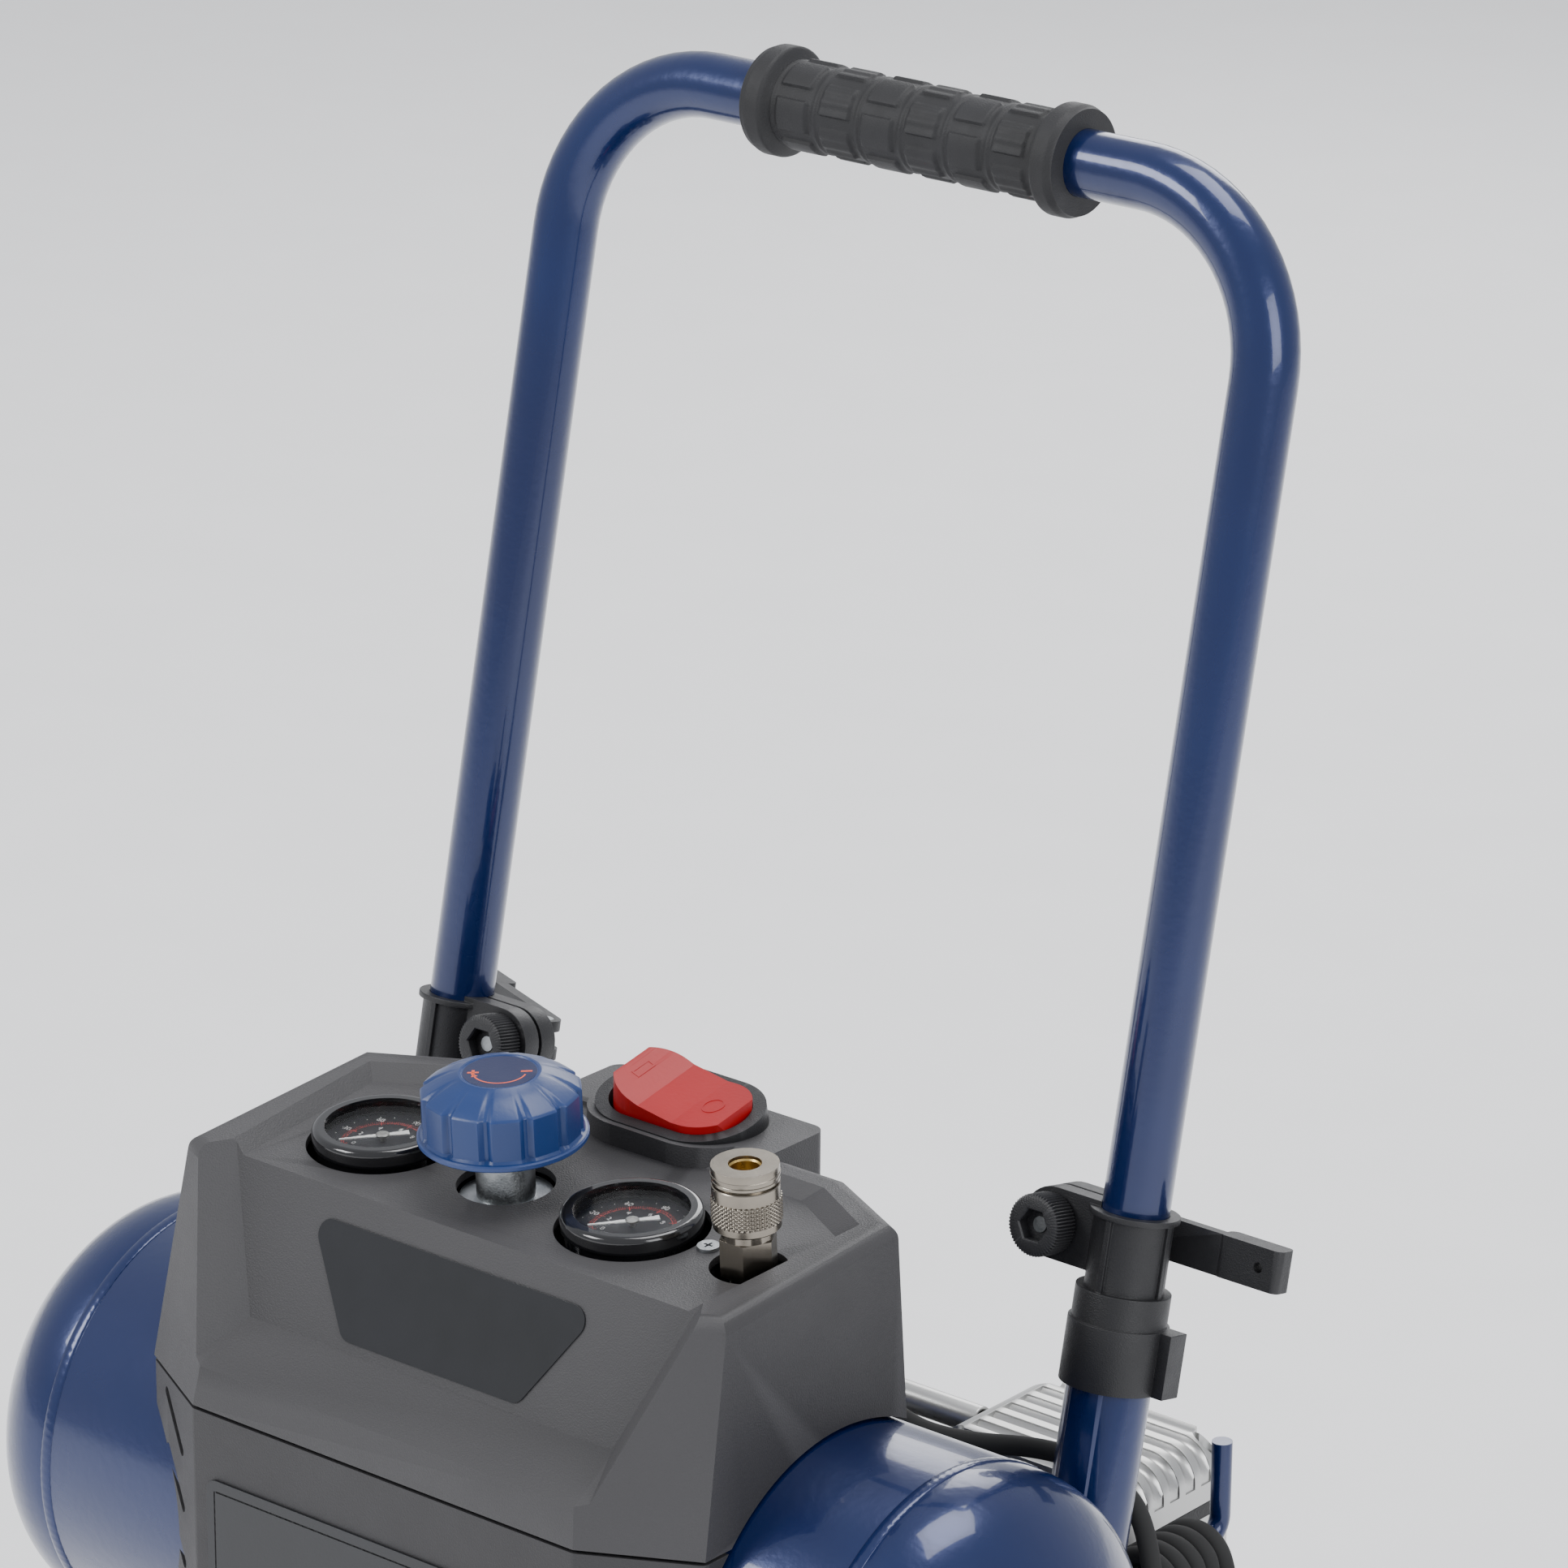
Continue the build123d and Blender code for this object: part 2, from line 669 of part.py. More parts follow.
front_walls = []
panel_walls = []
for sx in (-1, 1):
    front_walls.append((sx, local(sx * 88.9, 26.4, 27.9), local(sx * 108.5, 42.5, 73.5), local(sx * 119, 32.5, 78)))
    panel_walls.append((sx, local(sx * 108.5, 42.5, 81.0), local(sx * 113.7, 120.7, 85.9), local(sx * 119.8, 126.1, 90.7)))
    panel_walls.append((sx, local(sx * 113.7, 120.7, 85.9), local(sx * 84.0, 136.5, 86.8), local(sx * 88.0, 142.5, 91.6)))


def outward(plane, inside):
    """The same plane, turned so that its normal points away from an inside point."""
    gap = (Vector(*inside) - plane.origin).dot(plane.z_dir)
    return plane if gap < 0 else Plane(origin=plane.origin, x_dir=plane.x_dir, z_dir=-plane.z_dir)


def hood_recess(grow):
    """The sunken control panel and sloping front, grown by a distance on every wall."""
    front_in = local(0, 10, 60)
    top_in = local(0, 80, 95)
    with BuildPart() as front_cut:
        with BuildSketch(Plane(origin=local(0, 0, -20))):
            Rectangle(400, 400)
        extrude(amount=200)
        split(bisect_by=outward(ledge_face, front_in).offset(grow), keep=Keep.BOTTOM)
        split(bisect_by=outward(slope_face, front_in).offset(grow), keep=Keep.BOTTOM)
        for sx, a, b, c in front_walls:
            split(bisect_by=outward(face_plane(a, b, c), front_in).offset(grow), keep=Keep.BOTTOM)
    with BuildPart() as top_cut:
        with BuildSketch(Plane(origin=local(0, 0, 40))):
            Rectangle(400, 400)
        extrude(amount=140)
        split(bisect_by=outward(panel_face, top_in).offset(grow), keep=Keep.BOTTOM)
        split(bisect_by=Plane(origin=local(0, 136.5, 86.8), z_dir=(0, 0.68, -0.73)).offset(grow), keep=Keep.BOTTOM)
        for sx, a, b, c in panel_walls:
            split(bisect_by=outward(face_plane(a, b, c), top_in).offset(grow), keep=Keep.BOTTOM)
    return front_cut.part + top_cut.part


with BuildPart() as hood_outer:
    with BuildSketch(Plane(origin=local(0, 60, 0))):
        Rectangle(400, 400)
    extrude(amount=150)
    for plane in hood_faces:
        split(bisect_by=plane, keep=Keep.BOTTOM)
    fillet(hood_outer.edges().filter_by(lambda e: e.center().Z > seam_h + 70 and e.length > 20), radius=6)

box_w = 102.0
box_back = 180.0
switch_s = math.sin(math.radians(switch_tilt))
switch_c = math.cos(math.radians(switch_tilt))
rim_plane = Plane(origin=(switch_x, switch_y, switch_z), x_dir=(1, 0, 0), z_dir=(0, -switch_s, switch_c))
sunk = hood_recess(0.0)
sunk_wide = hood_recess(hood_wall)
with BuildPart() as hood_inside:
    with BuildSketch(Plane(origin=local(0, 60, -5))):
        Rectangle(400, 400)
    extrude(amount=150)
    for plane in hood_faces:
        split(bisect_by=plane.offset(-hood_wall), keep=Keep.BOTTOM)
    with BuildSketch(Plane(origin=local(switch_x, 162, -5))):
        with Locations((0, (box_back - 162.0) / 2 - 9)):
            RectangleRounded(box_w - 2 * hood_wall, box_back - 144.0 - 2 * hood_wall, 3)
    extrude(amount=95 - hood_wall + 5)
    add(sunk_wide, mode=Mode.SUBTRACT)

with BuildPart() as hood:
    add(hood_outer.part)
    with BuildSketch(Plane(origin=local(switch_x, 162, 0))):
        with Locations((0, (box_back - 162.0) / 2 - 9)):
            RectangleRounded(box_w, box_back - 144.0, 6)
    extrude(amount=95)
    with BuildSketch(Plane(origin=(switch_x, switch_y, seam_h + 70))):
        SlotOverall(bezel_len + 6, bezel_w + 4)
    extrude(amount=25)
    add(sunk, mode=Mode.SUBTRACT)
    with BuildSketch(Plane(origin=(switch_x, switch_y, seam_h + 78))):
        SlotOverall(bezel_len + 6, bezel_w + 4)
    extrude(amount=17)
    add(hood_inside.part, mode=Mode.SUBTRACT)
    for x0 in (tank_gauge_x, tool_gauge_x):
        with BuildSketch(panel(x0, -12)):
            Circle(gauge_hole)
        extrude(amount=24, mode=Mode.SUBTRACT)
    with BuildSketch(panel(knob_x, -12)):
        Circle(18.5)
    extrude(amount=24, mode=Mode.SUBTRACT)
    with BuildSketch(panel(coupler_x, -12)):
        Circle(14.5)
    extrude(amount=16, mode=Mode.SUBTRACT)
    with BuildSketch(rim_plane.offset(-30)):
        SlotOverall(bezel_len - 6.4, bezel_w - 6.4)
    extrude(amount=40, mode=Mode.SUBTRACT)
    with BuildSketch(panel(82.0, -8)):
        with Locations((0, 2.5)):
            Circle(2.1)
    extrude(amount=16, mode=Mode.SUBTRACT)
    with BuildSketch(across(-200, tank_y, tank_z)):
        Circle(tank_r + 1.5)
    extrude(amount=400, mode=Mode.SUBTRACT)
hood.part.label = "hood"
export_step(hood.part, "parts/hood.step")

# ================= front cover =================

cover_top = seam_h - seam_gap
louvre_first = 17.0
louvre_pitch = 23.0
louvre_rows = 8
louvre_len = 28.0
louvre_w = 4.2
louvre_slant = 45.0
cover_faces = [
    Plane(origin=local(0, 0, 0), z_dir=(0, -1, 0)),
    Plane(origin=local(0, 60, 0), z_dir=(0, 1, 0)),
]
for sx in (-1, 1):
    cover_faces.append(Plane(origin=local(sx * nose_x, 0, 0), z_dir=(sx * cham_nx, cham_ny, 0)))
    cover_faces.append(Plane(origin=local(sx * side_x, 30, 0), z_dir=(sx, 0, 0)))

with BuildPart() as cover_inside:
    with BuildSketch(Plane(origin=(0, front_y + 60, tray_top - tray_lip - 5))):
        Rectangle(400, 400)
    extrude(amount=cover_top - tray_top + tray_lip + 20)
    for i, plane in enumerate(cover_faces):
        split(bisect_by=plane.offset(-hood_wall if i != 1 else 10), keep=Keep.BOTTOM)

with BuildPart() as front_cover:
    with BuildSketch(Plane(origin=(0, front_y + 60, tray_top - tray_lip))):
        Rectangle(400, 400)
    extrude(amount=cover_top - tray_top + tray_lip)
    for plane in cover_faces:
        split(bisect_by=plane, keep=Keep.BOTTOM)
    fillet(front_cover.edges().filter_by(Axis.Z).filter_by(lambda e: e.center().Y < front_y + 30), radius=4)
    add(cover_inside.part, mode=Mode.SUBTRACT)
    for sx in (-1, 1):
        for row in range(louvre_rows):
            slot_at = Vector(*local(sx * (nose_x + side_x) / 2, nose_d / 2, -louvre_first - louvre_pitch * row))
            slot_plane = Plane(
                origin=slot_at,
                x_dir=(side_x - nose_x, sx * nose_d, 0),
                z_dir=(sx * cham_nx, cham_ny, 0),
            )
            with BuildSketch(slot_plane):
                SlotOverall(louvre_len, louvre_w, rotation=louvre_slant * sx)
            extrude(amount=16, both=True, mode=Mode.SUBTRACT)
    with BuildSketch(across(-200, tank_y, tank_z)):
        Circle(tank_r + 1.5)
    extrude(amount=400, mode=Mode.SUBTRACT)
    with BuildSketch(Plane(origin=(0, tray_front - 0.5 + 100, tray_top - tray_lip - 5))):
        Rectangle(400, 200)
    extrude(amount=tray_lip + 5.5, mode=Mode.SUBTRACT)
    with BuildSketch(back(0, front_y - 1, tray_top - tray_lip / 2)):
        with Locations((-70, 0), (70, 0)):
            Circle(2.6)
    extrude(amount=10, mode=Mode.SUBTRACT)
front_cover.part.label = "front_cover"
export_step(front_cover.part, "parts/front_cover.step")

with BuildPart() as cover_screws:
    for x0 in (-70, 70):
        with BuildSketch(back(x0, front_y - 0.9, tray_top - tray_lip / 2)):
            Circle(4.4)
            Rectangle(4, 0.9, mode=Mode.SUBTRACT)
            Rectangle(0.9, 4, mode=Mode.SUBTRACT)
        extrude(amount=0.9)
        with BuildSketch(back(x0, front_y, tray_top - tray_lip / 2)):
            Circle(2.6)
        extrude(amount=14)
    with BuildSketch(panel(82.0, 0.0)):
        with Locations((0, 2.5)):
            Circle(4.2)
            Rectangle(4, 0.9, mode=Mode.SUBTRACT)
            Rectangle(0.9, 4, mode=Mode.SUBTRACT)
    extrude(amount=1.4)
    with BuildSketch(panel(82.0, -14.0)):
        with Locations((0, 2.5)):
            Circle(2.1)
    extrude(amount=14)
cover_screws.part.label = "cover_screws"
export_step(cover_screws.part, "parts/cover_screws.step")

slope_out = outward(slope_face, local(0, 60, 20))
slope_n = slope_out.z_dir
slope_x = Vector(1, 0, 0)
label_mid = Vector(*local(0, 26.4, 27.9)) + (Vector(*local(0, 42.5, 73.5)) - Vector(*local(0, 26.4, 27.9))) * 0.50
slope_up = (Vector(*local(0, 42.5, 73.5)) - Vector(*local(0, 26.4, 27.9))).normalized()
label_plane = Plane(origin=label_mid, x_dir=slope_x, z_dir=slope_x.cross(slope_up))
with BuildPart() as face_plates:
    with BuildSketch(label_plane):
        with BuildLine():
            Polyline((-43, -20.5), (43, -20.5), (70, 21), (-70, 21), close=True)
        make_face()
        fillet(vertices(), radius=6)
    extrude(amount=0.6)
    with BuildSketch(back(0, front_y - 1.0, seam_h - 60.0)):
        RectangleRounded(2 * nose_x - 14, 66, 5)
    extrude(amount=1.0)
face_plates.part.label = "face_plates"
export_step(face_plates.part, "parts/face_plates.step")

# ================= manifold, regulator, gauges and coupler =================

rail_top = -35.0
rail_h = 22.0
with BuildPart() as manifold:
    with BuildSketch(panel((tank_gauge_x + coupler_x) / 2, rail_top - rail_h)):
        RectangleRounded(coupler_x - tank_gauge_x + 30, 22, 2)
    extrude(amount=rail_h)
    with BuildSketch(Plane(origin=(riser_x, panel_y + 4.0, tank_z + tank_r - 5))):
        Circle(5)
    extrude(amount=18)
    with BuildSketch(back(14.0, panel_y + 4, seam_h + 37)):
        Circle(5)
    extrude(amount=front_y + 140 - panel_y - 4)
    rail_mid = panel(0, rail_top - rail_h / 2).origin
    with BuildSketch(across(tank_gauge_x - 12, rail_mid.Y, rail_mid.Z)):
        Circle(4)
    extrude(amount=coupler_x - tank_gauge_x + 24, mode=Mode.SUBTRACT)
    for x0 in (tank_gauge_x, knob_x, tool_gauge_x, coupler_x):
        with BuildSketch(panel(x0, rail_top - rail_h / 2)):
            Circle(3)
        extrude(amount=rail_h / 2, mode=Mode.SUBTRACT)
    with BuildSketch(Plane(origin=(riser_x, panel_y + 4.0, tank_z + tank_r - 6))):
        Circle(3)
    extrude(amount=22, mode=Mode.SUBTRACT)
manifold.part.label = "manifold"
export_step(manifold.part, "parts/manifold.step")

gauge_row = (tank_gauge_x, tool_gauge_x)
with BuildPart() as gauge_cases:
    for x0 in gauge_row:
        with BuildSketch(panel(x0, -22)):
            Circle(25)
        extrude(amount=23)
        with BuildSketch(panel(x0, 1)):
            Circle(gauge_r)
        extrude(amount=6.6)
        with BuildSketch(panel(x0, rail_top)):
            Circle(6)
        extrude(amount=-rail_top - 22)
        with BuildSketch(panel(x0, -30)):
            RegularPolygon(8, 4)
        extrude(amount=8)
    fillet(gauge_cases.edges().filter_by(GeomType.CIRCLE).sort_by(Axis.Z)[-2:], radius=2.4)
    for x0 in gauge_row:
        with BuildSketch(panel(x0, -1)):
            Circle(23)
        extrude(amount=7.0, mode=Mode.SUBTRACT)
        with BuildSketch(panel(x0, 6.0)):
            Circle(21.5)
        extrude(amount=2.0, mode=Mode.SUBTRACT)
        with BuildSketch(panel(x0, -8)):
            Circle(1.0 + pin_fit)
        extrude(amount=10, mode=Mode.SUBTRACT)
gauge_cases.part.label = "gauge_cases"
export_step(gauge_cases.part, "parts/gauge_cases.step")

with BuildPart() as gauge_dials:
    for x0 in gauge_row:
        with BuildSketch(panel(x0, -1)):
            Circle(22.9)
            Circle(1.0 + pin_fit, mode=Mode.SUBTRACT)
        extrude(amount=0.6)
gauge_dials.part.label = "gauge_dials"
export_step(gauge_dials.part, "parts/gauge_dials.step")

with BuildPart() as gauge_lenses:
    for x0 in gauge_row:
        with BuildSketch(panel(x0, 4.2)):
            Circle(22.95)
        extrude(amount=1.75)
gauge_lenses.part.label = "gauge_lenses"
export_step(gauge_lenses.part, "parts/gauge_lenses.step")

for x0, tag in ((tank_gauge_x, "tank"), (tool_gauge_x, "tool")):
    with BuildPart() as gauge_needle:
        with BuildSketch(panel(x0, 1.4)):
            with BuildLine():
                Polyline((-10, -1.5), (-10, 1.5), (0, 0.9), (16.5, 0.25), (16.5, -0.25), (0, -0.9), close=True)
            make_face()
            Circle(2.6)
        extrude(amount=0.6)
        with BuildSketch(panel(x0, -6)):
            Circle(1.0)
        extrude(amount=8.6)
    needle_turn = gauge_needle.part.rotate(Axis(panel(x0).origin, panel(x0).z_dir), 229)
    needle_turn.label = tag + "_needle"
    export_step(needle_turn, "parts/" + tag + "_needle.step")

with BuildPart() as regulator_body:
    with BuildSketch(panel(knob_x, rail_top)):
        RegularPolygon(17, 6)
    extrude(amount=8)
    with BuildSketch(panel(knob_x, rail_top + 8)):
        Circle(17.5)
    extrude(amount=19)
    with BuildSketch(panel(knob_x, rail_top + 8)):
        Circle(14)
    extrude(amount=19, mode=Mode.SUBTRACT)
regulator_body.part.label = "regulator_body"
export_step(regulator_body.part, "parts/regulator_body.step")

with BuildPart() as regulator_bonnet:
    with BuildSketch(panel(knob_x, -8)):
        Circle(17.5)
    extrude(amount=4)
    with BuildSketch(panel(knob_x, -8)):
        Circle(stem_r)
    extrude(amount=46)
    with BuildSketch(panel(knob_x, -8)):
        Circle(stem_r - 2.5)
    extrude(amount=42, mode=Mode.SUBTRACT)
regulator_bonnet.part.label = "regulator_bonnet"
export_step(regulator_bonnet.part, "parts/regulator_bonnet.step")

with BuildPart() as regulator_knob:
    with BuildSketch(panel(knob_x, knob_lift)):
        Circle(knob_r)
    extrude(amount=2.4)
    with BuildSketch(panel(knob_x, knob_lift + 2.4)):
        Circle(30.2)
    extrude(amount=17.0)
    with BuildSketch(panel(knob_x, knob_lift + 19.4)):
        Circle(30.2)
    with BuildSketch(panel(knob_x, knob_lift + 25.6)):
        Circle(15.5)
    loft()
    with BuildSketch(panel(knob_x, knob_lift + 25.6)):
        Circle(15.5)
    extrude(amount=1.0)
    with BuildSketch(panel(knob_x, knob_lift + 2.4)):
        with PolarLocations(35.5, 12):
            Circle(7.5)
    extrude(amount=26, mode=Mode.SUBTRACT)
    with BuildSketch(panel(knob_x, knob_lift)):
        Circle(27.0)
        Circle(stem_r + 4, mode=Mode.SUBTRACT)
    extrude(amount=16, mode=Mode.SUBTRACT)
    with BuildSketch(panel(knob_x, knob_lift)):
        Circle(stem_r + pin_fit)
    extrude(amount=19.2, mode=Mode.SUBTRACT)
regulator_knob.part.label = "regulator_knob"
export_step(regulator_knob.part, "parts/regulator_knob.step")

plug_bore = 6.1
sleeve_low = 16.2
sleeve_up = 36.0
with BuildPart() as coupler_body:
    with BuildSketch(panel(coupler_x, rail_top)):
        Circle(7)
    extrude(amount=33)
    with BuildSketch(panel(coupler_x, -2)):
        RegularPolygon(10.9, 6)
    extrude(amount=14.6)
    with BuildSketch(panel(coupler_x, 12.6)):
        Circle(9.6)
    extrude(amount=28.2)
    with BuildSketch(panel(coupler_x, sleeve_up + 0.1)):
        Circle(12.4)
        Circle(9.6, mode=Mode.SUBTRACT)
    extrude(amount=4.7)
    with BuildSketch(panel(coupler_x, 18.8)):
        Circle(plug_bore)
    extrude(amount=22, mode=Mode.SUBTRACT)
    with BuildSketch(panel(coupler_x, rail_top)):
        Circle(3)
    extrude(amount=60, mode=Mode.SUBTRACT)
coupler_body.part.label = "coupler_body"
export_step(coupler_body.part, "parts/coupler_body.step")

with BuildPart() as coupler_sleeve:
    with BuildSketch(panel(coupler_x, sleeve_low)):
        Circle(13.0)
        Circle(9.6 + pin_fit, mode=Mode.SUBTRACT)
    extrude(amount=sleeve_up - sleeve_low)
    fillet(coupler_sleeve.edges().filter_by(GeomType.CIRCLE).group_by(SortBy.RADIUS)[-1], radius=0.8)
coupler_sleeve.part.label = "coupler_sleeve"
export_step(coupler_sleeve.part, "parts/coupler_sleeve.step")

# ================= pressure switch =================

well_len = 60.0
well_w = 35.0
plug_deep = 15.0
pin_drop = 6.0
body_low = seam_h + 19.0
body_top = seam_h + 78.0
pin_at = rim_plane.from_local_coords(Vector(0, 0, -pin_drop))
side_view = Plane(origin=pin_at, x_dir=(1, 0, 0), z_dir=-rim_plane.y_dir)
with BuildPart() as switch_bezel:
    with BuildSketch(rim_plane.offset(-30)):
        SlotOverall(bezel_len, bezel_w)
    extrude(amount=30)
    split(bisect_by=Plane.XY.offset(seam_h + 95.0), keep=Keep.TOP)
    with BuildSketch(rim_plane.offset(-plug_deep)):
        SlotOverall(bezel_len - 7.0, bezel_w - 7.0)
    extrude(amount=plug_deep)
    with BuildSketch(rim_plane.offset(-30)):
        SlotOverall(well_len, well_w)
    extrude(amount=40, mode=Mode.SUBTRACT)
    with BuildSketch(side_view.offset(-well_w / 2 - 1.25)):
        Circle(1.5 + pin_fit)
    extrude(amount=well_w + 2.5, mode=Mode.SUBTRACT)
switch_bezel.part.label = "switch_bezel"
export_step(switch_bezel.part, "parts/switch_bezel.step")

swing_r = rocker_len / 2
with BuildPart() as rocker:
    with BuildSketch(side_view.offset(-40)):
        with BuildLine():
            Polyline(
                (-40, -6), (40, -6), (40, 16.0), (24, 13.6), (8, 10.2), (-8, 10.2), (-24, 13.6), (-40, 16.0),
                close=True,
            )
        make_face()
    extrude(amount=80)
    with BuildSketch(rim_plane.offset(-40)):
        SlotOverall(rocker_len, rocker_w)
    extrude(amount=80, mode=Mode.INTERSECT)
    with BuildSketch(side_view.offset(-40)):
        Circle(swing_r)
    extrude(amount=80, mode=Mode.INTERSECT)
    with BuildSketch(side_view.offset(-well_w / 2 - 1.2)):
        Circle(1.5)
    extrude(amount=well_w + 2.4)
rocker_set = rocker.part.rotate(Axis(pin_at, rim_plane.y_dir), rocker_tip)
rocker_set.label = "rocker"
export_step(rocker_set, "parts/rocker.step")

with BuildPart() as pressure_switch:
    with BuildSketch(Plane(origin=(switch_x + 2, front_y + 157, body_low))):
        RectangleRounded(66, 34, 3)
    extrude(amount=body_top - body_low)
    with BuildSketch(across(-tank_half, tank_y, tank_z)):
        Circle(tank_r + 2)
    extrude(amount=2 * tank_half, mode=Mode.SUBTRACT)
pressure_switch.part.label = "pressure_switch"
export_step(pressure_switch.part, "parts/pressure_switch.step")


# ================= pump =================

case_low = shaft_z - 60.0
case_top = shaft_z + 46.0
plate_low = head_top - 30.0
plate_top = head_top - 24.0
shaft_r = 8.0
crank_x0 = 62.0
crank_x1 = 104.0
shroud_in = 108.0
crank_room = 30.0
throw = 7.0

with BuildPart() as vibration_mounts:
    with BuildSketch(Plane.XY.offset(tray_top)):
        with Locations(*mount_at):
            Circle(12)
    extrude(amount=case_low - tray_top)
vibration_mounts.part.label = "vibration_mounts"
export_step(vibration_mounts.part, "parts/vibration_mounts.step")


def station(side, x, z=0.0):
    """Plane square to the shaft on one side of the pump."""
    return Plane(origin=(side * x, pump_y, shaft_z + z), x_dir=(0, side, 0), z_dir=(side, 0, 0))


block_w = head_out - motor_half
block_x = (motor_half + head_out) / 2

with BuildPart() as crankcases:
    for side in (-1, 1):
        with BuildSketch(Plane(origin=(side * (motor_half + shroud_in) / 2, pump_y, case_low))):
            RectangleRounded(shroud_in - motor_half, head_w, 4)
        extrude(amount=case_top - case_low)
        with BuildSketch(station(side, crank_x0 - 4)):
            Circle(crank_room)
        extrude(amount=shroud_in - crank_x0 + 4, mode=Mode.SUBTRACT)
        with BuildSketch(station(side, motor_half - 1)):
            Circle(shaft_r + pin_fit)
        extrude(amount=20, mode=Mode.SUBTRACT)
        with BuildSketch(Plane(origin=(side * bore_x, pump_y, shaft_z))):
            Circle(17)
        extrude(amount=60, mode=Mode.SUBTRACT)
crankcases.part.label = "crankcases"
export_step(crankcases.part, "parts/crankcases.step")

with BuildPart() as fan_shrouds:
    for side in (-1, 1):
        with BuildSketch(station(side, shroud_in)):
            with Locations((0, (case_top + case_low) / 2 - shaft_z)):
                RectangleRounded(head_w, case_top - case_low, 6)
            Circle(35, mode=Mode.SUBTRACT)
        extrude(amount=head_out - shroud_in)
        with BuildSketch(station(side, head_out - 3)):
            Circle(36)
            Circle(32, mode=Mode.SUBTRACT)
            Circle(24)
            Circle(21, mode=Mode.SUBTRACT)
            Circle(13)
            with PolarLocations(0, 3):
                Rectangle(72, 3)
        extrude(amount=3)
fan_shrouds.part.label = "fan_shrouds"
export_step(fan_shrouds.part, "parts/fan_shrouds.step")

with BuildPart() as cylinders:
    for side in (-1, 1):
        with BuildSketch(Plane(origin=(side * block_x, pump_y, case_top))):
            RectangleRounded(block_w, head_w, 5)
        extrude(amount=plate_low - case_top)
        with BuildSketch(Plane(origin=(side * bore_x, pump_y, case_top))):
            Circle(bore_r)
        extrude(amount=plate_low - case_top, mode=Mode.SUBTRACT)
        with BuildSketch(Plane(origin=(side * block_x, pump_y, plate_low - 16))):
            with GridLocations(block_w - 14, head_w - 14, 2, 2):
                Circle(3)
        extrude(amount=16, mode=Mode.SUBTRACT)
cylinders.part.label = "cylinders"
export_step(cylinders.part, "parts/cylinders.step")

with BuildPart() as pistons:
    for side in (-1, 1):
        with BuildSketch(Plane(origin=(side * bore_x, pump_y, plate_low - 13))):
            Circle(bore_r - 0.08)
        extrude(amount=12)
        with BuildSketch(Plane(origin=(side * bore_x, pump_y, shaft_z + 27))):
            Rectangle(12, 16)
        extrude(amount=plate_low - 13 - shaft_z - 27)
pistons.part.label = "pistons"
export_step(pistons.part, "parts/pistons.step")

with BuildPart() as valve_plates:
    for side in (-1, 1):
        with BuildSketch(Plane(origin=(side * block_x, pump_y, plate_low))):
            RectangleRounded(block_w, head_w, 5)
            with GridLocations(block_w - 14, head_w - 14, 2, 2):
                Circle(3, mode=Mode.SUBTRACT)
        extrude(amount=plate_top - plate_low)
valve_plates.part.label = "valve_plates"
export_step(valve_plates.part, "parts/valve_plates.step")

with BuildPart() as cylinder_heads:
    for side in (-1, 1):
        with BuildSketch(Plane(origin=(side * block_x, pump_y, plate_top))):
            RectangleRounded(block_w, head_w, 5)
        extrude(amount=head_top - plate_top)
        outer_top = cylinder_heads.edges().filter_by(Axis.Y).group_by(Axis.Z)[-1]
        fillet(outer_top, radius=14)
        with BuildSketch(Plane(origin=(side * (motor_half + 12 + head_out + 10) / 2, pump_y, plate_top + 8))):
            with GridLocations(1, 10, 1, 7):
                Rectangle(head_out + 10 - motor_half - 12, 6)
        extrude(amount=40, mode=Mode.SUBTRACT)
        with BuildSketch(Plane(origin=(side * block_x, pump_y, plate_top))):
            with GridLocations(block_w - 14, head_w - 14, 2, 2):
                Circle(3)
        extrude(amount=40, mode=Mode.SUBTRACT)
        with BuildSketch(Plane(origin=(side * block_x, pump_y, plate_top + 8))):
            with GridLocations(block_w - 14, head_w - 14, 2, 2):
                Circle(6.6)
        extrude(amount=40, mode=Mode.SUBTRACT)
        with BuildSketch(Plane(origin=(side * (motor_half - 1), pump_y, seam_h - 66.0), z_dir=(side, 0, 0))):
            Circle(4.5)
        extrude(amount=12, mode=Mode.SUBTRACT)
cylinder_heads.part.label = "cylinder_heads"
export_step(cylinder_heads.part, "parts/cylinder_heads.step")

with BuildPart() as head_bolts:
    for side in (-1, 1):
        with BuildSketch(Plane(origin=(side * block_x, pump_y, plate_low - 16))):
            with GridLocations(head_out - motor_half - 14, head_w - 14, 2, 2):
                Circle(3)
        extrude(amount=plate_top + 8 - plate_low + 16)
        with BuildSketch(Plane(origin=(side * block_x, pump_y, plate_top + 8))):
            with GridLocations(head_out - motor_half - 14, head_w - 14, 2, 2):
                Circle(5)
                RegularPolygon(2.6, 6, mode=Mode.SUBTRACT)
        extrude(amount=5)
head_bolts.part.label = "head_bolts"
export_step(head_bolts.part, "parts/head_bolts.step")

with BuildPart() as motor_housing:
    with BuildSketch(across(-motor_half, pump_y, shaft_z)):
        Circle(motor_r)
        Circle(motor_r - 4, mode=Mode.SUBTRACT)
    extrude(amount=2 * motor_half)
    with BuildSketch(across(-motor_half, pump_y, shaft_z)):
        with PolarLocations(motor_r - 2, 12, start_angle=15):
            Rectangle(8, 5)
    extrude(amount=16, mode=Mode.SUBTRACT)
motor_housing.part.label = "motor_housing"
export_step(motor_housing.part, "parts/motor_housing.step")

with BuildPart() as stator:
    with BuildSketch(across(-motor_half + 18, pump_y, shaft_z)):
        Circle(motor_r - 4)
        Circle(32, mode=Mode.SUBTRACT)
    extrude(amount=2 * motor_half - 36)
stator.part.label = "stator"
export_step(stator.part, "parts/stator.step")

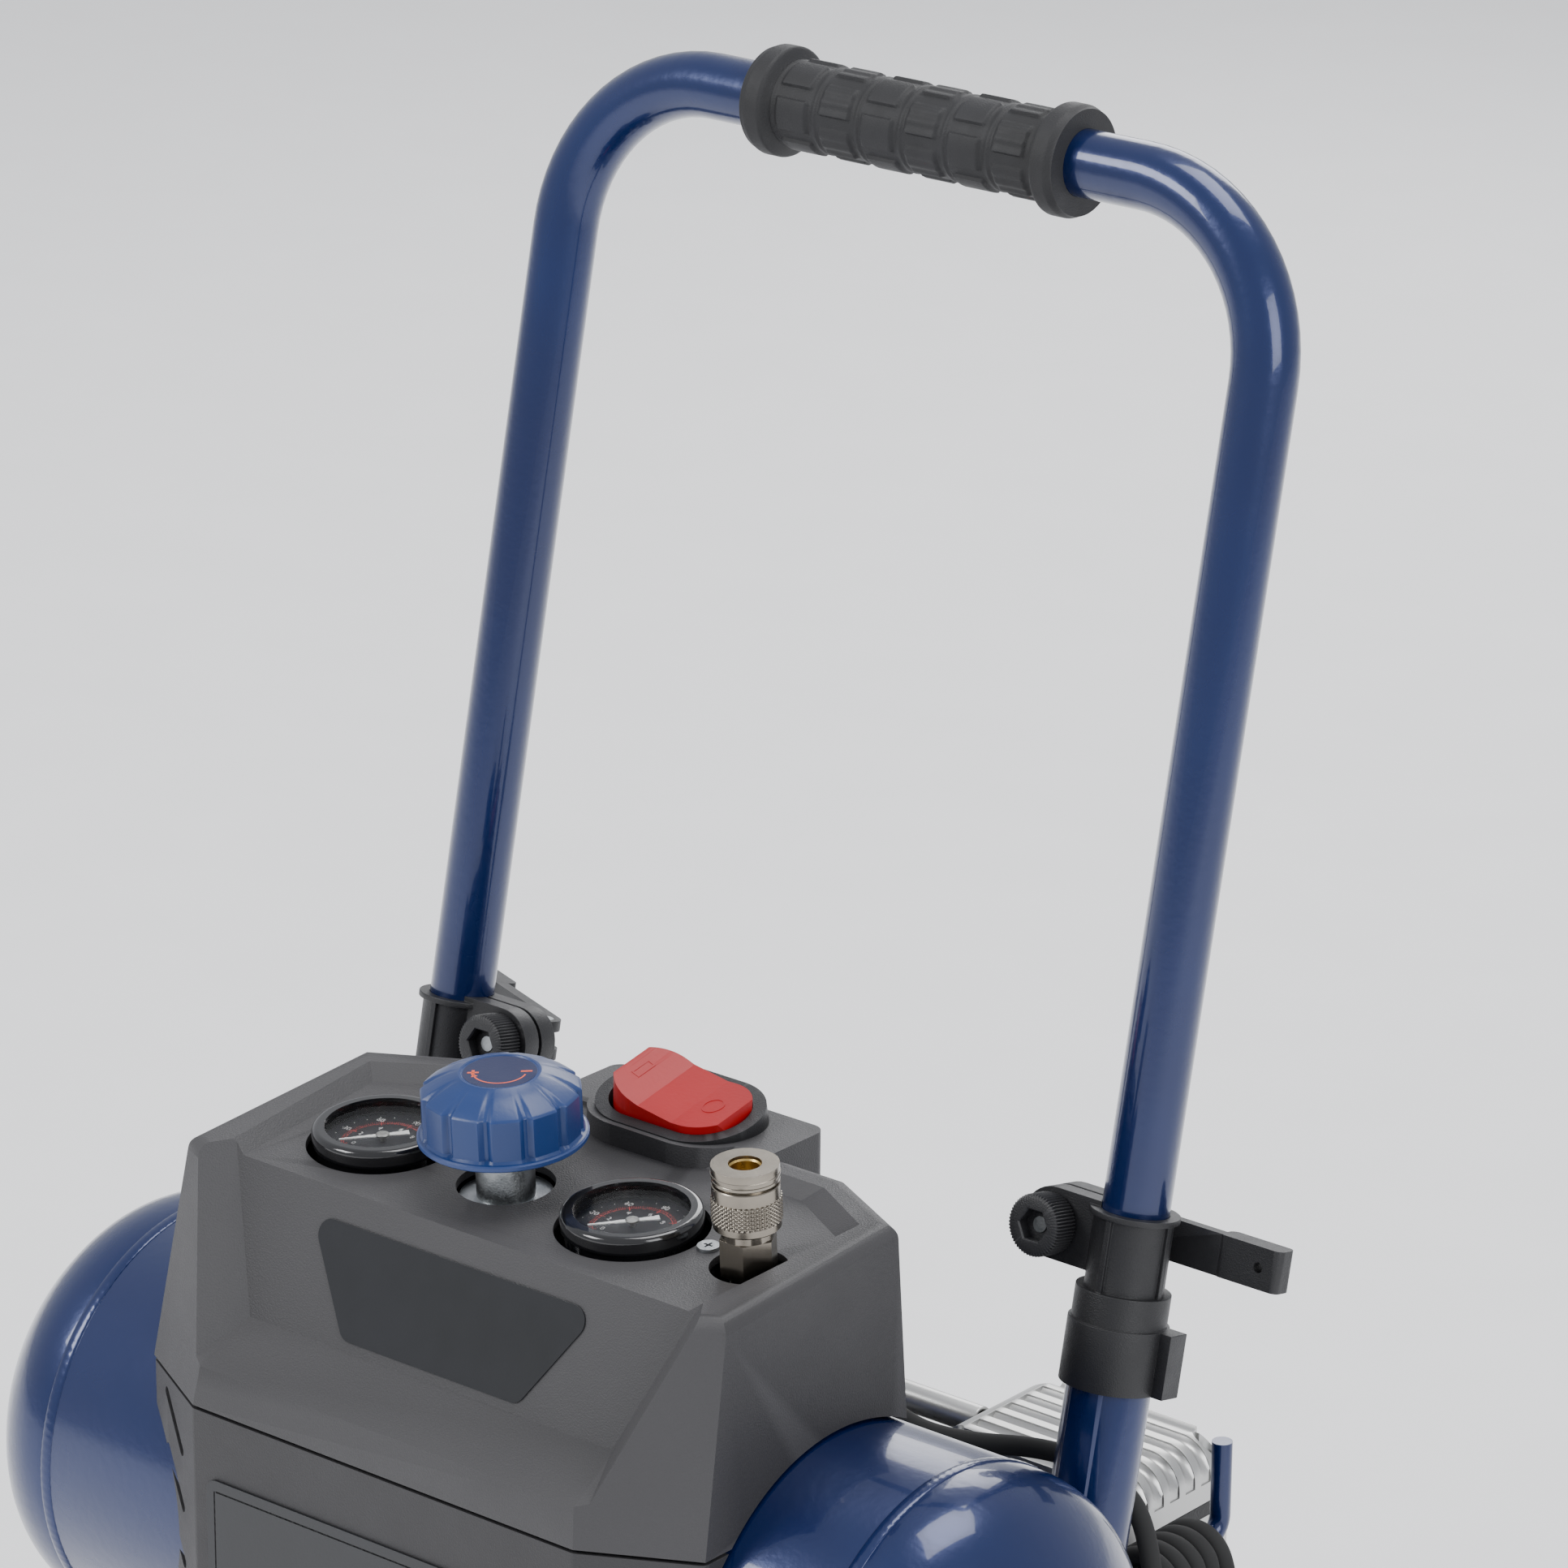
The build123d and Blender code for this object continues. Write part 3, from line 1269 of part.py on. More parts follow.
with BuildPart() as rotor:
    with BuildSketch(across(-head_out + 6, pump_y, shaft_z)):
        Circle(shaft_r)
    extrude(amount=2 * head_out - 12)
    with BuildSketch(across(-motor_half + 20, pump_y, shaft_z)):
        Circle(31.4)
    extrude(amount=2 * motor_half - 40)
    for side in (-1, 1):
        with BuildSketch(Plane(origin=(side * (bore_x - 8), pump_y, shaft_z + throw), z_dir=(side, 0, 0))):
            Circle(19)
        extrude(amount=16)
rotor.part.label = "rotor"
export_step(rotor.part, "parts/rotor.step")

with BuildPart() as cooling_fans:
    for side in (-1, 1):
        fan_at = Plane(origin=(side * (shroud_in + 6), pump_y, shaft_z), x_dir=(0, 1, 0), z_dir=(side, 0, 0))
        with BuildSketch(fan_at):
            Circle(12)
            with PolarLocations(22, 7):
                Rectangle(22, 9, rotation=28)
            Circle(shaft_r, mode=Mode.SUBTRACT)
        extrude(amount=16)
cooling_fans.part.label = "cooling_fans"
export_step(cooling_fans.part, "parts/cooling_fans.step")

check_x = -97.0
check_z = seam_h - 72.0
with BuildPart() as check_valve:
    with BuildSketch(back(check_x, tank_y + tank_r - 6, check_z)):
        RegularPolygon(9, 6)
    extrude(amount=26)
    with BuildSketch(across(-tank_half, tank_y, tank_z)):
        Circle(tank_r)
    extrude(amount=2 * tank_half, mode=Mode.SUBTRACT)
check_valve.part.label = "check_valve"
export_step(check_valve.part, "parts/check_valve.step")

with BuildPart() as air_tubes:
    with BuildSketch(across(-motor_half, pump_y, seam_h - 66.0)):
        Circle(6)
        Circle(4.5, mode=Mode.SUBTRACT)
    extrude(amount=2 * motor_half)
    with BuildSketch(back(check_x, tank_y + tank_r + 20, check_z)):
        Circle(5)
        Circle(3.6, mode=Mode.SUBTRACT)
    extrude(amount=pump_y - head_w / 2 - tank_y - tank_r - 20)
air_tubes.part.label = "air_tubes"
export_step(air_tubes.part, "parts/air_tubes.step")

with BuildPart() as intake_filters:
    for side in (-1, 1):
        with BuildSketch(back(side * 97.0, pump_y + head_w / 2, plate_low - 22)):
            Circle(6)
        extrude(amount=8)
        with BuildSketch(back(side * 97.0, pump_y + head_w / 2 + 8, plate_low - 22)):
            Circle(15)
        extrude(amount=18)
intake_filters.part.label = "intake_filters"
export_step(intake_filters.part, "parts/intake_filters.step")

# ================= safety valve and drain =================

relief_x = -40.0
pop = math.radians(70)
pop_dir = Vector(0, math.sin(pop), math.cos(pop))
pop_plane = Plane(
    origin=Vector(relief_x, tank_y, tank_z) + pop_dir * (tank_r - 6), x_dir=(1, 0, 0), z_dir=pop_dir
)
with BuildPart() as safety_valve:
    with BuildSketch(pop_plane):
        Circle(10)
    extrude(amount=12)
    with BuildSketch(pop_plane.offset(12)):
        RegularPolygon(8.5, 6)
    extrude(amount=8)
    with BuildSketch(pop_plane.offset(20)):
        Circle(6.5)
    extrude(amount=14)
    with BuildSketch(pop_plane.offset(14)):
        Circle(2 + pin_fit)
    extrude(amount=20, mode=Mode.SUBTRACT)
    with BuildSketch(across(-tank_half, tank_y, tank_z)):
        Circle(tank_r)
    extrude(amount=2 * tank_half, mode=Mode.SUBTRACT)
safety_valve.part.label = "safety_valve"
export_step(safety_valve.part, "parts/safety_valve.step")

with BuildPart() as safety_ring:
    with BuildSketch(pop_plane.offset(15)):
        Circle(2)
    extrude(amount=23)
    with BuildSketch(Plane(pop_plane.offset(45).origin, x_dir=pop_dir, z_dir=(1, 0, 0)).offset(-1.2)):
        Circle(9.5)
        Circle(7, mode=Mode.SUBTRACT)
    extrude(amount=2.4)
safety_ring.part.label = "safety_ring"
export_step(safety_ring.part, "parts/safety_ring.step")

drain_z = tank_z - tank_r - 15.0
with BuildPart() as drain_valve:
    with BuildSketch(Plane(origin=(drain_x, tank_y, tank_z - tank_r - 23))):
        Circle(8)
    extrude(amount=18)
    with BuildSketch(across(drain_x, tank_y, drain_z)):
        Circle(5)
    extrude(amount=20)
drain_valve.part.label = "drain_valve"
export_step(drain_valve.part, "parts/drain_valve.step")

with BuildPart() as drain_knob:
    with BuildSketch(across(drain_x + 10, tank_y, drain_z)):
        Circle(10)
        with PolarLocations(11.5, 8):
            Circle(2.4, mode=Mode.SUBTRACT)
    extrude(amount=14)
    with BuildSketch(across(drain_x + 10, tank_y, drain_z)):
        Circle(5 + pin_fit)
    extrude(amount=10.4, mode=Mode.SUBTRACT)
drain_knob.part.label = "drain_knob"
export_step(drain_knob.part, "parts/drain_knob.step")
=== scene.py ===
"""Visual model of a wheeled workshop air compressor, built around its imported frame."""
import json
import logging
import math
from dataclasses import dataclass
from enum import Enum
from typing import Callable, Iterable, Sequence

import bpy
from mathutils import Matrix, Vector
from mathutils.bvhtree import BVHTree


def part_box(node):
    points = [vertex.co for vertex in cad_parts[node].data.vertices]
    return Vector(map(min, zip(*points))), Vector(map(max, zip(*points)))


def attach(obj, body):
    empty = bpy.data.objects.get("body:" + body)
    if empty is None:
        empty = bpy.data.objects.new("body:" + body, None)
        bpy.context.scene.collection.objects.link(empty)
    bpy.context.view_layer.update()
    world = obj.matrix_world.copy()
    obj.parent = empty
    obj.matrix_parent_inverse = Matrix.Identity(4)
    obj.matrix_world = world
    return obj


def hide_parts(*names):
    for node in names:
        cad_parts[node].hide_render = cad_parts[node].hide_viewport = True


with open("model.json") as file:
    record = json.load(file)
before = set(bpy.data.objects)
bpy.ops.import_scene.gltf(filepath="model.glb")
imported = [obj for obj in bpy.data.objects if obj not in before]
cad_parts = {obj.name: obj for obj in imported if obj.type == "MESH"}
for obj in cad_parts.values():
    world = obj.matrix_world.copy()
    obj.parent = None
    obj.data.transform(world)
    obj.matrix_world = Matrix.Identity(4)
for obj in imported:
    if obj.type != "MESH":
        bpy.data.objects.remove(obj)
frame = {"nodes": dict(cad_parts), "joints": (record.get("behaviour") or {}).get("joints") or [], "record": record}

LOG = logging.getLogger("air_compressor")
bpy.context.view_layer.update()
MM = 0.001
CHASSIS = "chassis"
Point = Sequence[float]


# ---------------------------------------------------------------- finishes


class Grain(Enum):
    """How the fine relief of a surface runs."""

    PEEL = "soft orange peel of sprayed paint"
    SPARK = "fine eroded mould texture"
    CAST = "sand like skin of a die casting"
    BRUSHED = "lines left by a lathe or brush"
    SMOOTH = "polished, with faint handling marks"


@dataclass(frozen=True)
class Finish:
    """One surface finish, turned into a procedural material on demand."""

    name: str
    color: tuple[float, float, float]
    shade: tuple[float, float, float]
    rough: float
    rough_spread: float = 0.08
    metallic: float = 0.0
    coat: float = 0.0
    coat_rough: float = 0.05
    grain: Grain = Grain.SMOOTH
    grain_scale: float = 900.0
    grain_depth: float = 0.05
    patch_scale: float = 14.0
    edge_wear: float = 0.0
    transmission: float = 0.0
    ior: float = 1.5

    def material(self) -> bpy.types.Material:
        """Return the material, building its nodes the first time it is asked for.

        Returns:
            The material.
        """
        found = bpy.data.materials.get(self.name)
        if found is not None:
            return found
        made = bpy.data.materials.new(self.name)
        made.use_nodes = True
        tree = made.node_tree
        shader = tree.nodes["Principled BSDF"]
        shader.inputs["Metallic"].default_value = self.metallic
        shader.inputs["Coat Weight"].default_value = self.coat
        shader.inputs["Coat Roughness"].default_value = self.coat_rough
        shader.inputs["Transmission Weight"].default_value = self.transmission
        shader.inputs["IOR"].default_value = self.ior
        place = tree.nodes.new("ShaderNodeTexCoord")
        self._tint(tree, shader, place)
        self._relief(tree, shader, place)
        return made

    def _noise(self, tree: bpy.types.NodeTree, place: bpy.types.Node, scale: float,
               stretch: Point = (1.0, 1.0, 1.0), detail: float = 3.0) -> bpy.types.Node:
        """Add a noise texture in object space.

        Args:
            tree: The material's nodes.
            place: The texture coordinate node.
            scale: Cells per metre.
            stretch: Extra scale along each axis.
            detail: Octaves of the noise.

        Returns:
            The noise node.
        """
        turn = tree.nodes.new("ShaderNodeMapping")
        turn.inputs["Scale"].default_value = stretch
        noise = tree.nodes.new("ShaderNodeTexNoise")
        noise.inputs["Scale"].default_value = scale
        noise.inputs["Detail"].default_value = detail
        tree.links.new(place.outputs["Object"], turn.inputs["Vector"])
        tree.links.new(turn.outputs["Vector"], noise.inputs["Vector"])
        return noise

    def _tint(self, tree: bpy.types.NodeTree, shader: bpy.types.Node, place: bpy.types.Node) -> None:
        """Vary colour and roughness in soft patches and show bare edges where asked.

        Args:
            tree: The material's node tree.
            shader: Its main shader.
            place: The node that gives the surface position.
        """
        patches = self._noise(tree, place, self.patch_scale)
        ramp = tree.nodes.new("ShaderNodeValToRGB")
        ramp.color_ramp.elements[0].position = 0.35
        ramp.color_ramp.elements[1].position = 0.68
        ramp.color_ramp.elements[0].color = (*self.shade, 1.0)
        ramp.color_ramp.elements[1].color = (*self.color, 1.0)
        tree.links.new(patches.outputs["Fac"], ramp.inputs["Fac"])
        tint = ramp.outputs["Color"]
        if self.edge_wear > 0.0:
            tint = self._worn(tree, tint)
        tree.links.new(tint, shader.inputs["Base Color"])
        spread = tree.nodes.new("ShaderNodeMapRange")
        spread.inputs["To Min"].default_value = max(0.02, self.rough - self.rough_spread)
        spread.inputs["To Max"].default_value = min(1.0, self.rough + self.rough_spread)
        cloud = self._noise(tree, place, self.patch_scale * 6.0)
        tree.links.new(cloud.outputs["Fac"], spread.inputs["Value"])
        tree.links.new(spread.outputs["Result"], shader.inputs["Roughness"])

    def _worn(self, tree: bpy.types.NodeTree, tint: bpy.types.NodeSocket) -> bpy.types.NodeSocket:
        """Lighten the raised edges of a surface.

        Args:
            tree: The material's nodes.
            tint: The colour so far.

        Returns:
            The colour with lighter edges.
        """
        shape = tree.nodes.new("ShaderNodeNewGeometry")
        edge = tree.nodes.new("ShaderNodeMapRange")
        edge.inputs["From Min"].default_value = 0.52
        edge.inputs["From Max"].default_value = 0.62
        edge.inputs["To Max"].default_value = self.edge_wear
        mix = tree.nodes.new("ShaderNodeMix")
        mix.data_type = "RGBA"
        bright = tuple(min(1.0, 1.9 * value + 0.05) for value in self.color)
        mix.inputs[7].default_value = (*bright, 1.0)
        tree.links.new(shape.outputs["Pointiness"], edge.inputs["Value"])
        tree.links.new(edge.outputs["Result"], mix.inputs["Factor"])
        tree.links.new(tint, mix.inputs[6])
        return mix.outputs[2]

    def _relief(self, tree: bpy.types.NodeTree, shader: bpy.types.Node, place: bpy.types.Node) -> None:
        """Add the fine relief that this finish's grain calls for.

        Args:
            tree: The material's node tree.
            shader: Its main shader.
            place: The node that gives the surface position.
        """
        stretch = (1.0, 1.0, 14.0) if self.grain is Grain.BRUSHED else (1.0, 1.0, 1.0)
        source = self._noise(tree, place, self.grain_scale, stretch, 2.0).outputs["Fac"]
        if self.grain in (Grain.SPARK, Grain.CAST):
            cells = tree.nodes.new("ShaderNodeTexVoronoi")
            cells.inputs["Scale"].default_value = self.grain_scale
            tree.links.new(place.outputs["Object"], cells.inputs["Vector"])
            blend = tree.nodes.new("ShaderNodeMath")
            blend.operation = "MULTIPLY_ADD"
            blend.inputs[1].default_value = 0.6
            tree.links.new(cells.outputs["Distance"], blend.inputs[0])
            tree.links.new(source, blend.inputs[2])
            source = blend.outputs[0]
        bump = tree.nodes.new("ShaderNodeBump")
        bump.inputs["Strength"].default_value = self.grain_depth
        bump.inputs["Distance"].default_value = 0.6 / self.grain_scale
        tree.links.new(source, bump.inputs["Height"])
        tree.links.new(bump.outputs["Normal"], shader.inputs["Normal"])


BLUE_PAINT = Finish(
    "blue_metallic_paint", color=(0.002, 0.016, 0.095), shade=(0.002, 0.012, 0.075),
    rough=0.26, rough_spread=0.05, metallic=0.35, coat=0.6, coat_rough=0.06, grain=Grain.PEEL,
    grain_scale=260.0, patch_scale=9.0)
BLACK_STEEL = Finish(
    "black_powder_coat", color=(0.022, 0.022, 0.023), shade=(0.015, 0.015, 0.016),
    rough=0.5, metallic=0.1, coat_rough=0.1, grain=Grain.PEEL, grain_depth=0.25)
HOOD_PLASTIC = Finish(
    "grey_textured_plastic", color=(0.034, 0.033, 0.035), shade=(0.029, 0.028, 0.030),
    rough=0.54, rough_spread=0.06, coat_rough=0.1, grain=Grain.SPARK, grain_scale=1500.0,
    grain_depth=0.35, patch_scale=11.0, edge_wear=0.25)
LABEL_FILM = Finish(
    "dark_label_film", color=(0.011, 0.012, 0.015), shade=(0.009, 0.010, 0.012),
    rough=0.34, rough_spread=0.05, coat=0.1)
LABEL_LINE = Finish(
    "label_border_ink", color=(0.42, 0.43, 0.46), shade=(0.36, 0.37, 0.40),
    rough=0.4)
BLACK_PLASTIC = Finish(
    "black_moulded_nylon", color=(0.013, 0.013, 0.015), shade=(0.010, 0.010, 0.011),
    rough=0.46, coat_rough=0.1, grain=Grain.SPARK, grain_scale=1900.0, grain_depth=0.35,
    patch_scale=25.0, edge_wear=0.35)
GRIP_RUBBER = Finish(
    "soft_black_rubber", color=(0.014, 0.014, 0.016), shade=(0.010, 0.010, 0.011),
    rough=0.62, rough_spread=0.07, coat_rough=0.1, grain=Grain.SPARK, grain_scale=1700.0,
    grain_depth=0.3, patch_scale=30.0, edge_wear=0.2)
TYRE_RUBBER = Finish(
    "tyre_rubber", color=(0.018, 0.018, 0.018), shade=(0.026, 0.025, 0.024),
    rough=0.72, coat_rough=0.1, grain=Grain.CAST, grain_scale=1100.0, grain_depth=0.4,
    patch_scale=22.0, edge_wear=0.25)
HUB_PLASTIC = Finish(
    "hub_nylon", color=(0.035, 0.035, 0.037), shade=(0.028, 0.028, 0.03),
    rough=0.5, coat_rough=0.1, grain=Grain.SPARK, grain_scale=1500.0, grain_depth=0.3,
    patch_scale=20.0, edge_wear=0.3)
ZINC = Finish(
    "zinc_plate", color=(0.50, 0.52, 0.53), shade=(0.34, 0.36, 0.37),
    rough=0.34, rough_spread=0.12, metallic=1.0, coat_rough=0.1, grain=Grain.CAST, grain_scale=1300.0,
    grain_depth=0.12, patch_scale=160.0)
NICKEL = Finish(
    "satin_nickel", color=(0.30, 0.27, 0.225), shade=(0.24, 0.215, 0.18),
    rough=0.24, rough_spread=0.06, metallic=1.0, coat_rough=0.1, grain_scale=2500.0, grain_depth=0.02,
    patch_scale=60.0)
BRASS = Finish(
    "machined_brass", color=(0.62, 0.44, 0.16), shade=(0.48, 0.32, 0.10),
    rough=0.3, rough_spread=0.1, metallic=1.0, coat_rough=0.1, grain=Grain.BRUSHED, grain_scale=800.0,
    grain_depth=0.1, patch_scale=70.0)
ALUMINIUM = Finish(
    "cast_aluminium", color=(0.21, 0.21, 0.215), shade=(0.17, 0.17, 0.175),
    rough=0.5, metallic=0.5, coat_rough=0.1, grain=Grain.CAST, grain_scale=1300.0, grain_depth=0.2,
    patch_scale=40.0, edge_wear=0.2)
GLOSS_BLACK = Finish(
    "gloss_black_enamel", color=(0.008, 0.008, 0.009), shade=(0.006, 0.006, 0.007),
    rough=0.14, rough_spread=0.04, coat=0.6)
DIAL_FACE = Finish(
    "dial_dark_print", color=(0.014, 0.015, 0.020), shade=(0.011, 0.012, 0.016),
    rough=0.55)
WHITE_INK = Finish(
    "white_ink", color=(0.82, 0.82, 0.80), shade=(0.76, 0.76, 0.74),
    rough=0.45)
RED_INK = Finish(
    "red_ink", color=(0.66, 0.06, 0.05), shade=(0.58, 0.05, 0.04),
    rough=0.45)
LENS = Finish(
    "clear_lens", color=(0.98, 0.98, 0.98), shade=(0.96, 0.96, 0.96),
    rough=0.04, rough_spread=0.02, transmission=1.0, ior=1.12)
NEEDLE_WHITE = Finish(
    "needle_white", color=(0.86, 0.86, 0.84), shade=(0.80, 0.80, 0.78),
    rough=0.36)
NEEDLE_HUB = Finish(
    "needle_hub_grey", color=(0.42, 0.42, 0.40), shade=(0.34, 0.34, 0.32),
    rough=0.34, rough_spread=0.06, metallic=0.8)
KNOB_BLUE = Finish(
    "blue_moulded_plastic", color=(0.010, 0.038, 0.155), shade=(0.008, 0.031, 0.130),
    rough=0.36, rough_spread=0.06, coat=0.1, coat_rough=0.2, grain=Grain.PEEL, grain_scale=500.0,
    patch_scale=20.0, edge_wear=0.35)
KNOB_DISC = Finish(
    "dark_blue_disc", color=(0.012, 0.018, 0.070), shade=(0.010, 0.015, 0.060),
    rough=0.30)
ORANGE_INK = Finish(
    "orange_red_ink", color=(0.80, 0.12, 0.05), shade=(0.72, 0.10, 0.04),
    rough=0.42)
ROCKER_RED = Finish(
    "red_moulded_plastic", color=(0.40, 0.002, 0.005), shade=(0.35, 0.002, 0.004),
    rough=0.36, rough_spread=0.05, coat=0.1, coat_rough=0.2, grain=Grain.PEEL, grain_scale=600.0,
    patch_scale=18.0)
LAMINATION = Finish(
    "steel_laminations", color=(0.20, 0.19, 0.18), shade=(0.14, 0.13, 0.12),
    rough=0.5, rough_spread=0.1, metallic=0.9, coat_rough=0.1, grain=Grain.BRUSHED, grain_depth=0.3,
    patch_scale=60.0)
SHEATH = Finish(
    "cord_sheath", color=(0.011, 0.011, 0.012), shade=(0.008, 0.008, 0.009),
    rough=0.36, coat_rough=0.1, grain=Grain.PEEL, grain_depth=0.12, patch_scale=30.0)

SLOT_FINISH: dict[str, Finish] = {
    "blue_paint": BLUE_PAINT, "black_steel": BLACK_STEEL, "hood_plastic": HOOD_PLASTIC,
    "label_film": LABEL_FILM, "black_plastic": BLACK_PLASTIC, "grip_rubber": GRIP_RUBBER,
    "tyre": TYRE_RUBBER, "hub_plastic": HUB_PLASTIC, "zinc_steel": ZINC, "nickel": NICKEL,
    "brass": BRASS, "cast_aluminium": ALUMINIUM, "valve_plate_black": BLACK_STEEL,
    "gloss_black": GLOSS_BLACK, "dial_print": DIAL_FACE, "lens": LENS, "pointer_white": NEEDLE_WHITE,
    "knob_blue": KNOB_BLUE, "rocker_red": ROCKER_RED, "lamination": LAMINATION, "cord_sheath": SHEATH,
}


# ---------------------------------------------------------------- mesh tools


def joint(name: str) -> tuple[Vector, Vector]:
    """Return a joint's position, if it has one, and its unit axis.

    Args:
        name: The joint's name in the frame.

    Returns:
        The position and the axis.
    """
    found = next(item for item in frame["joints"] if item["name"] == name)
    return Vector(found.get("pos_m", (0.0, 0.0, 0.0))), Vector(found["axis"]).normalized()


def seat(origin: Vector, normal: Vector, across: Vector = Vector((1.0, 0.0, 0.0))) -> Matrix:
    """Build the placement of a piece drawn about its own Z axis.

    Args:
        origin: Where the piece's own origin goes.
        normal: Where its Z axis points.
        across: Roughly where its X axis points.

    Returns:
        The placement.
    """
    up = normal.normalized()
    side = (across - up * across.dot(up)).normalized()
    turn = Matrix((side, up.cross(side), up)).transposed().to_4x4()
    return Matrix.Translation(origin) @ turn


def solid(name: str, points: Sequence[Point], faces: Sequence[Sequence[int]], place: Matrix,
          sharp: float = 32.0) -> bpy.types.Object:
    """Make a mesh object from points and faces.

    Args:
        name: The object's name.
        points: Corners in the piece's own axes.
        faces: Corner numbers of each face.
        place: Where the piece goes.
        sharp: Edges steeper than this many degrees stay crisp.

    Returns:
        The object, with its place in its mesh.
    """
    mesh = bpy.data.meshes.new(name)
    corners = [tuple(place @ Vector(point)) for point in points]
    mesh.from_pydata(corners, [], [tuple(face) for face in faces])
    mesh.validate()
    mesh.shade_smooth()
    mesh.set_sharp_from_angle(angle=math.radians(sharp))
    made = bpy.data.objects.new(name, mesh)
    bpy.context.scene.collection.objects.link(made)
    return made


def skin(name: str, rings: Sequence[Sequence[Point]], place: Matrix, wrap: bool = False,
         sharp: float = 32.0) -> bpy.types.Object:
    """Join rings of equal length into a closed body.

    Args:
        name: The object's name.
        rings: Closed rings of points, in order.
        place: Where the piece goes.
        wrap: True joins the last ring to the first; otherwise both ends are capped.
        sharp: Edges steeper than this many degrees stay crisp.

    Returns:
        The object.
    """
    count = len(rings[0])
    points = [point for ring in rings for point in ring]
    faces = []
    last = len(rings) if wrap else len(rings) - 1
    for row in range(last):
        here = row * count
        there = ((row + 1) % len(rings)) * count
        for step in range(count):
            after = (step + 1) % count
            faces.append((here + step, here + after, there + after, there + step))
    if not wrap:
        faces.append(tuple(reversed(range(count))))
        faces.append(tuple(range(len(points) - count, len(points))))
    return solid(name, points, faces, place, sharp)


def turned(name: str, profile: Sequence[tuple[float, float]], place: Matrix, steps: int = 96,
           closed: bool = True, shift: Callable[[float, int], float] | None = None,
           sharp: float = 32.0) -> bpy.types.Object:
    """Turn a profile round the Z axis, as on a lathe.

    Args:
        name: The object's name.
        profile: Radius and height pairs, in metres.
        place: Where the piece goes.
        steps: Points round each ring.
        closed: True for a ring shape whose profile closes on itself.
        shift: Extra radius as a function of the angle and the profile point's number.
        sharp: Edges steeper than this many degrees stay crisp.

    Returns:
        The object.
    """
    rings = []
    for number, (radius, height) in enumerate(profile):
        ring = []
        for step in range(steps):
            angle = 2.0 * math.pi * step / steps
            reach = radius + (shift(angle, number) if shift else 0.0)
            ring.append((reach * math.cos(angle), reach * math.sin(angle), height))
        rings.append(ring)
    return skin(name, rings, place, wrap=closed, sharp=sharp)


def plate(name: str, outline: Sequence[tuple[float, float]], low: float, high: float,
          place: Matrix) -> bpy.types.Object:
    """Make a flat plate from an outline.

    Args:
        name: The object's name.
        outline: Corners, counter-clockwise.
        low: Height of its underside.
        high: Height of its top.
        place: Where the piece goes.

    Returns:
        The object.
    """
    return skin(name, [[(x, y, low) for x, y in outline], [(x, y, high) for x, y in outline]], place)


def arc_band(radius: float, width: float, start: float, end: float,
             steps: int) -> list[tuple[float, float]]:
    """Outline a curved band between two angles.

    Args:
        radius: The band's middle radius.
        width: Its width.
        start: Where it starts, in degrees.
        end: Where it ends, in degrees.
        steps: Straight stretches along it.

    Returns:
        The outline's corners.
    """
    angles = [math.radians(start + (end - start) * step / steps) for step in range(steps + 1)]
    inner = [((radius - width / 2) * math.cos(a), (radius - width / 2) * math.sin(a)) for a in angles]
    outer = [((radius + width / 2) * math.cos(a), (radius + width / 2) * math.sin(a)) for a in angles]
    return inner + outer[::-1] if start > end else outer + inner[::-1]


def bar(x: float, y: float, length: float, width: float, angle: float) -> list[tuple[float, float]]:
    """Outline a turned rectangle about a point.

    Args:
        x: Its middle across.
        y: Its middle up.
        length: Its size along its own first axis.
        width: Its size along the second.
        angle: How far it is turned, in radians.

    Returns:
        The outline's corners, counter-clockwise.
    """
    ca, sa = math.cos(angle), math.sin(angle)
    corners = ((-1, -1), (1, -1), (1, 1), (-1, 1))
    half, thin = length / 2, width / 2
    return [(x + u * half * ca - v * thin * sa, y + u * half * sa + v * thin * ca) for u, v in corners]


def lettering(name: str, words: str, size: float, x: float, y: float, lift: float,
              place: Matrix) -> bpy.types.Object:
    """Make flat figures as a mesh.

    Args:
        name: The object's name.
        words: The figures.
        size: Their height scale in metres.
        x: Centre across.
        y: Centre up.
        lift: Height above the surface.
        place: Where the surface is.

    Returns:
        The object.
    """
    curve = bpy.data.curves.new(name + "_text", "FONT")
    curve.body = words
    curve.size = size
    curve.align_x = "CENTER"
    curve.align_y = "CENTER"
    curve.extrude = 0.00002
    maker = bpy.data.objects.new(name + "_text", curve)
    bpy.context.scene.collection.objects.link(maker)
    bpy.context.view_layer.update()
    mesh = bpy.data.meshes.new_from_object(maker.evaluated_get(bpy.context.evaluated_depsgraph_get()))
    mesh.transform(place @ Matrix.Translation((x, y, lift)))
    bpy.data.objects.remove(maker)
    bpy.data.curves.remove(curve)
    made = bpy.data.objects.new(name, mesh)
    bpy.context.scene.collection.objects.link(made)
    return made


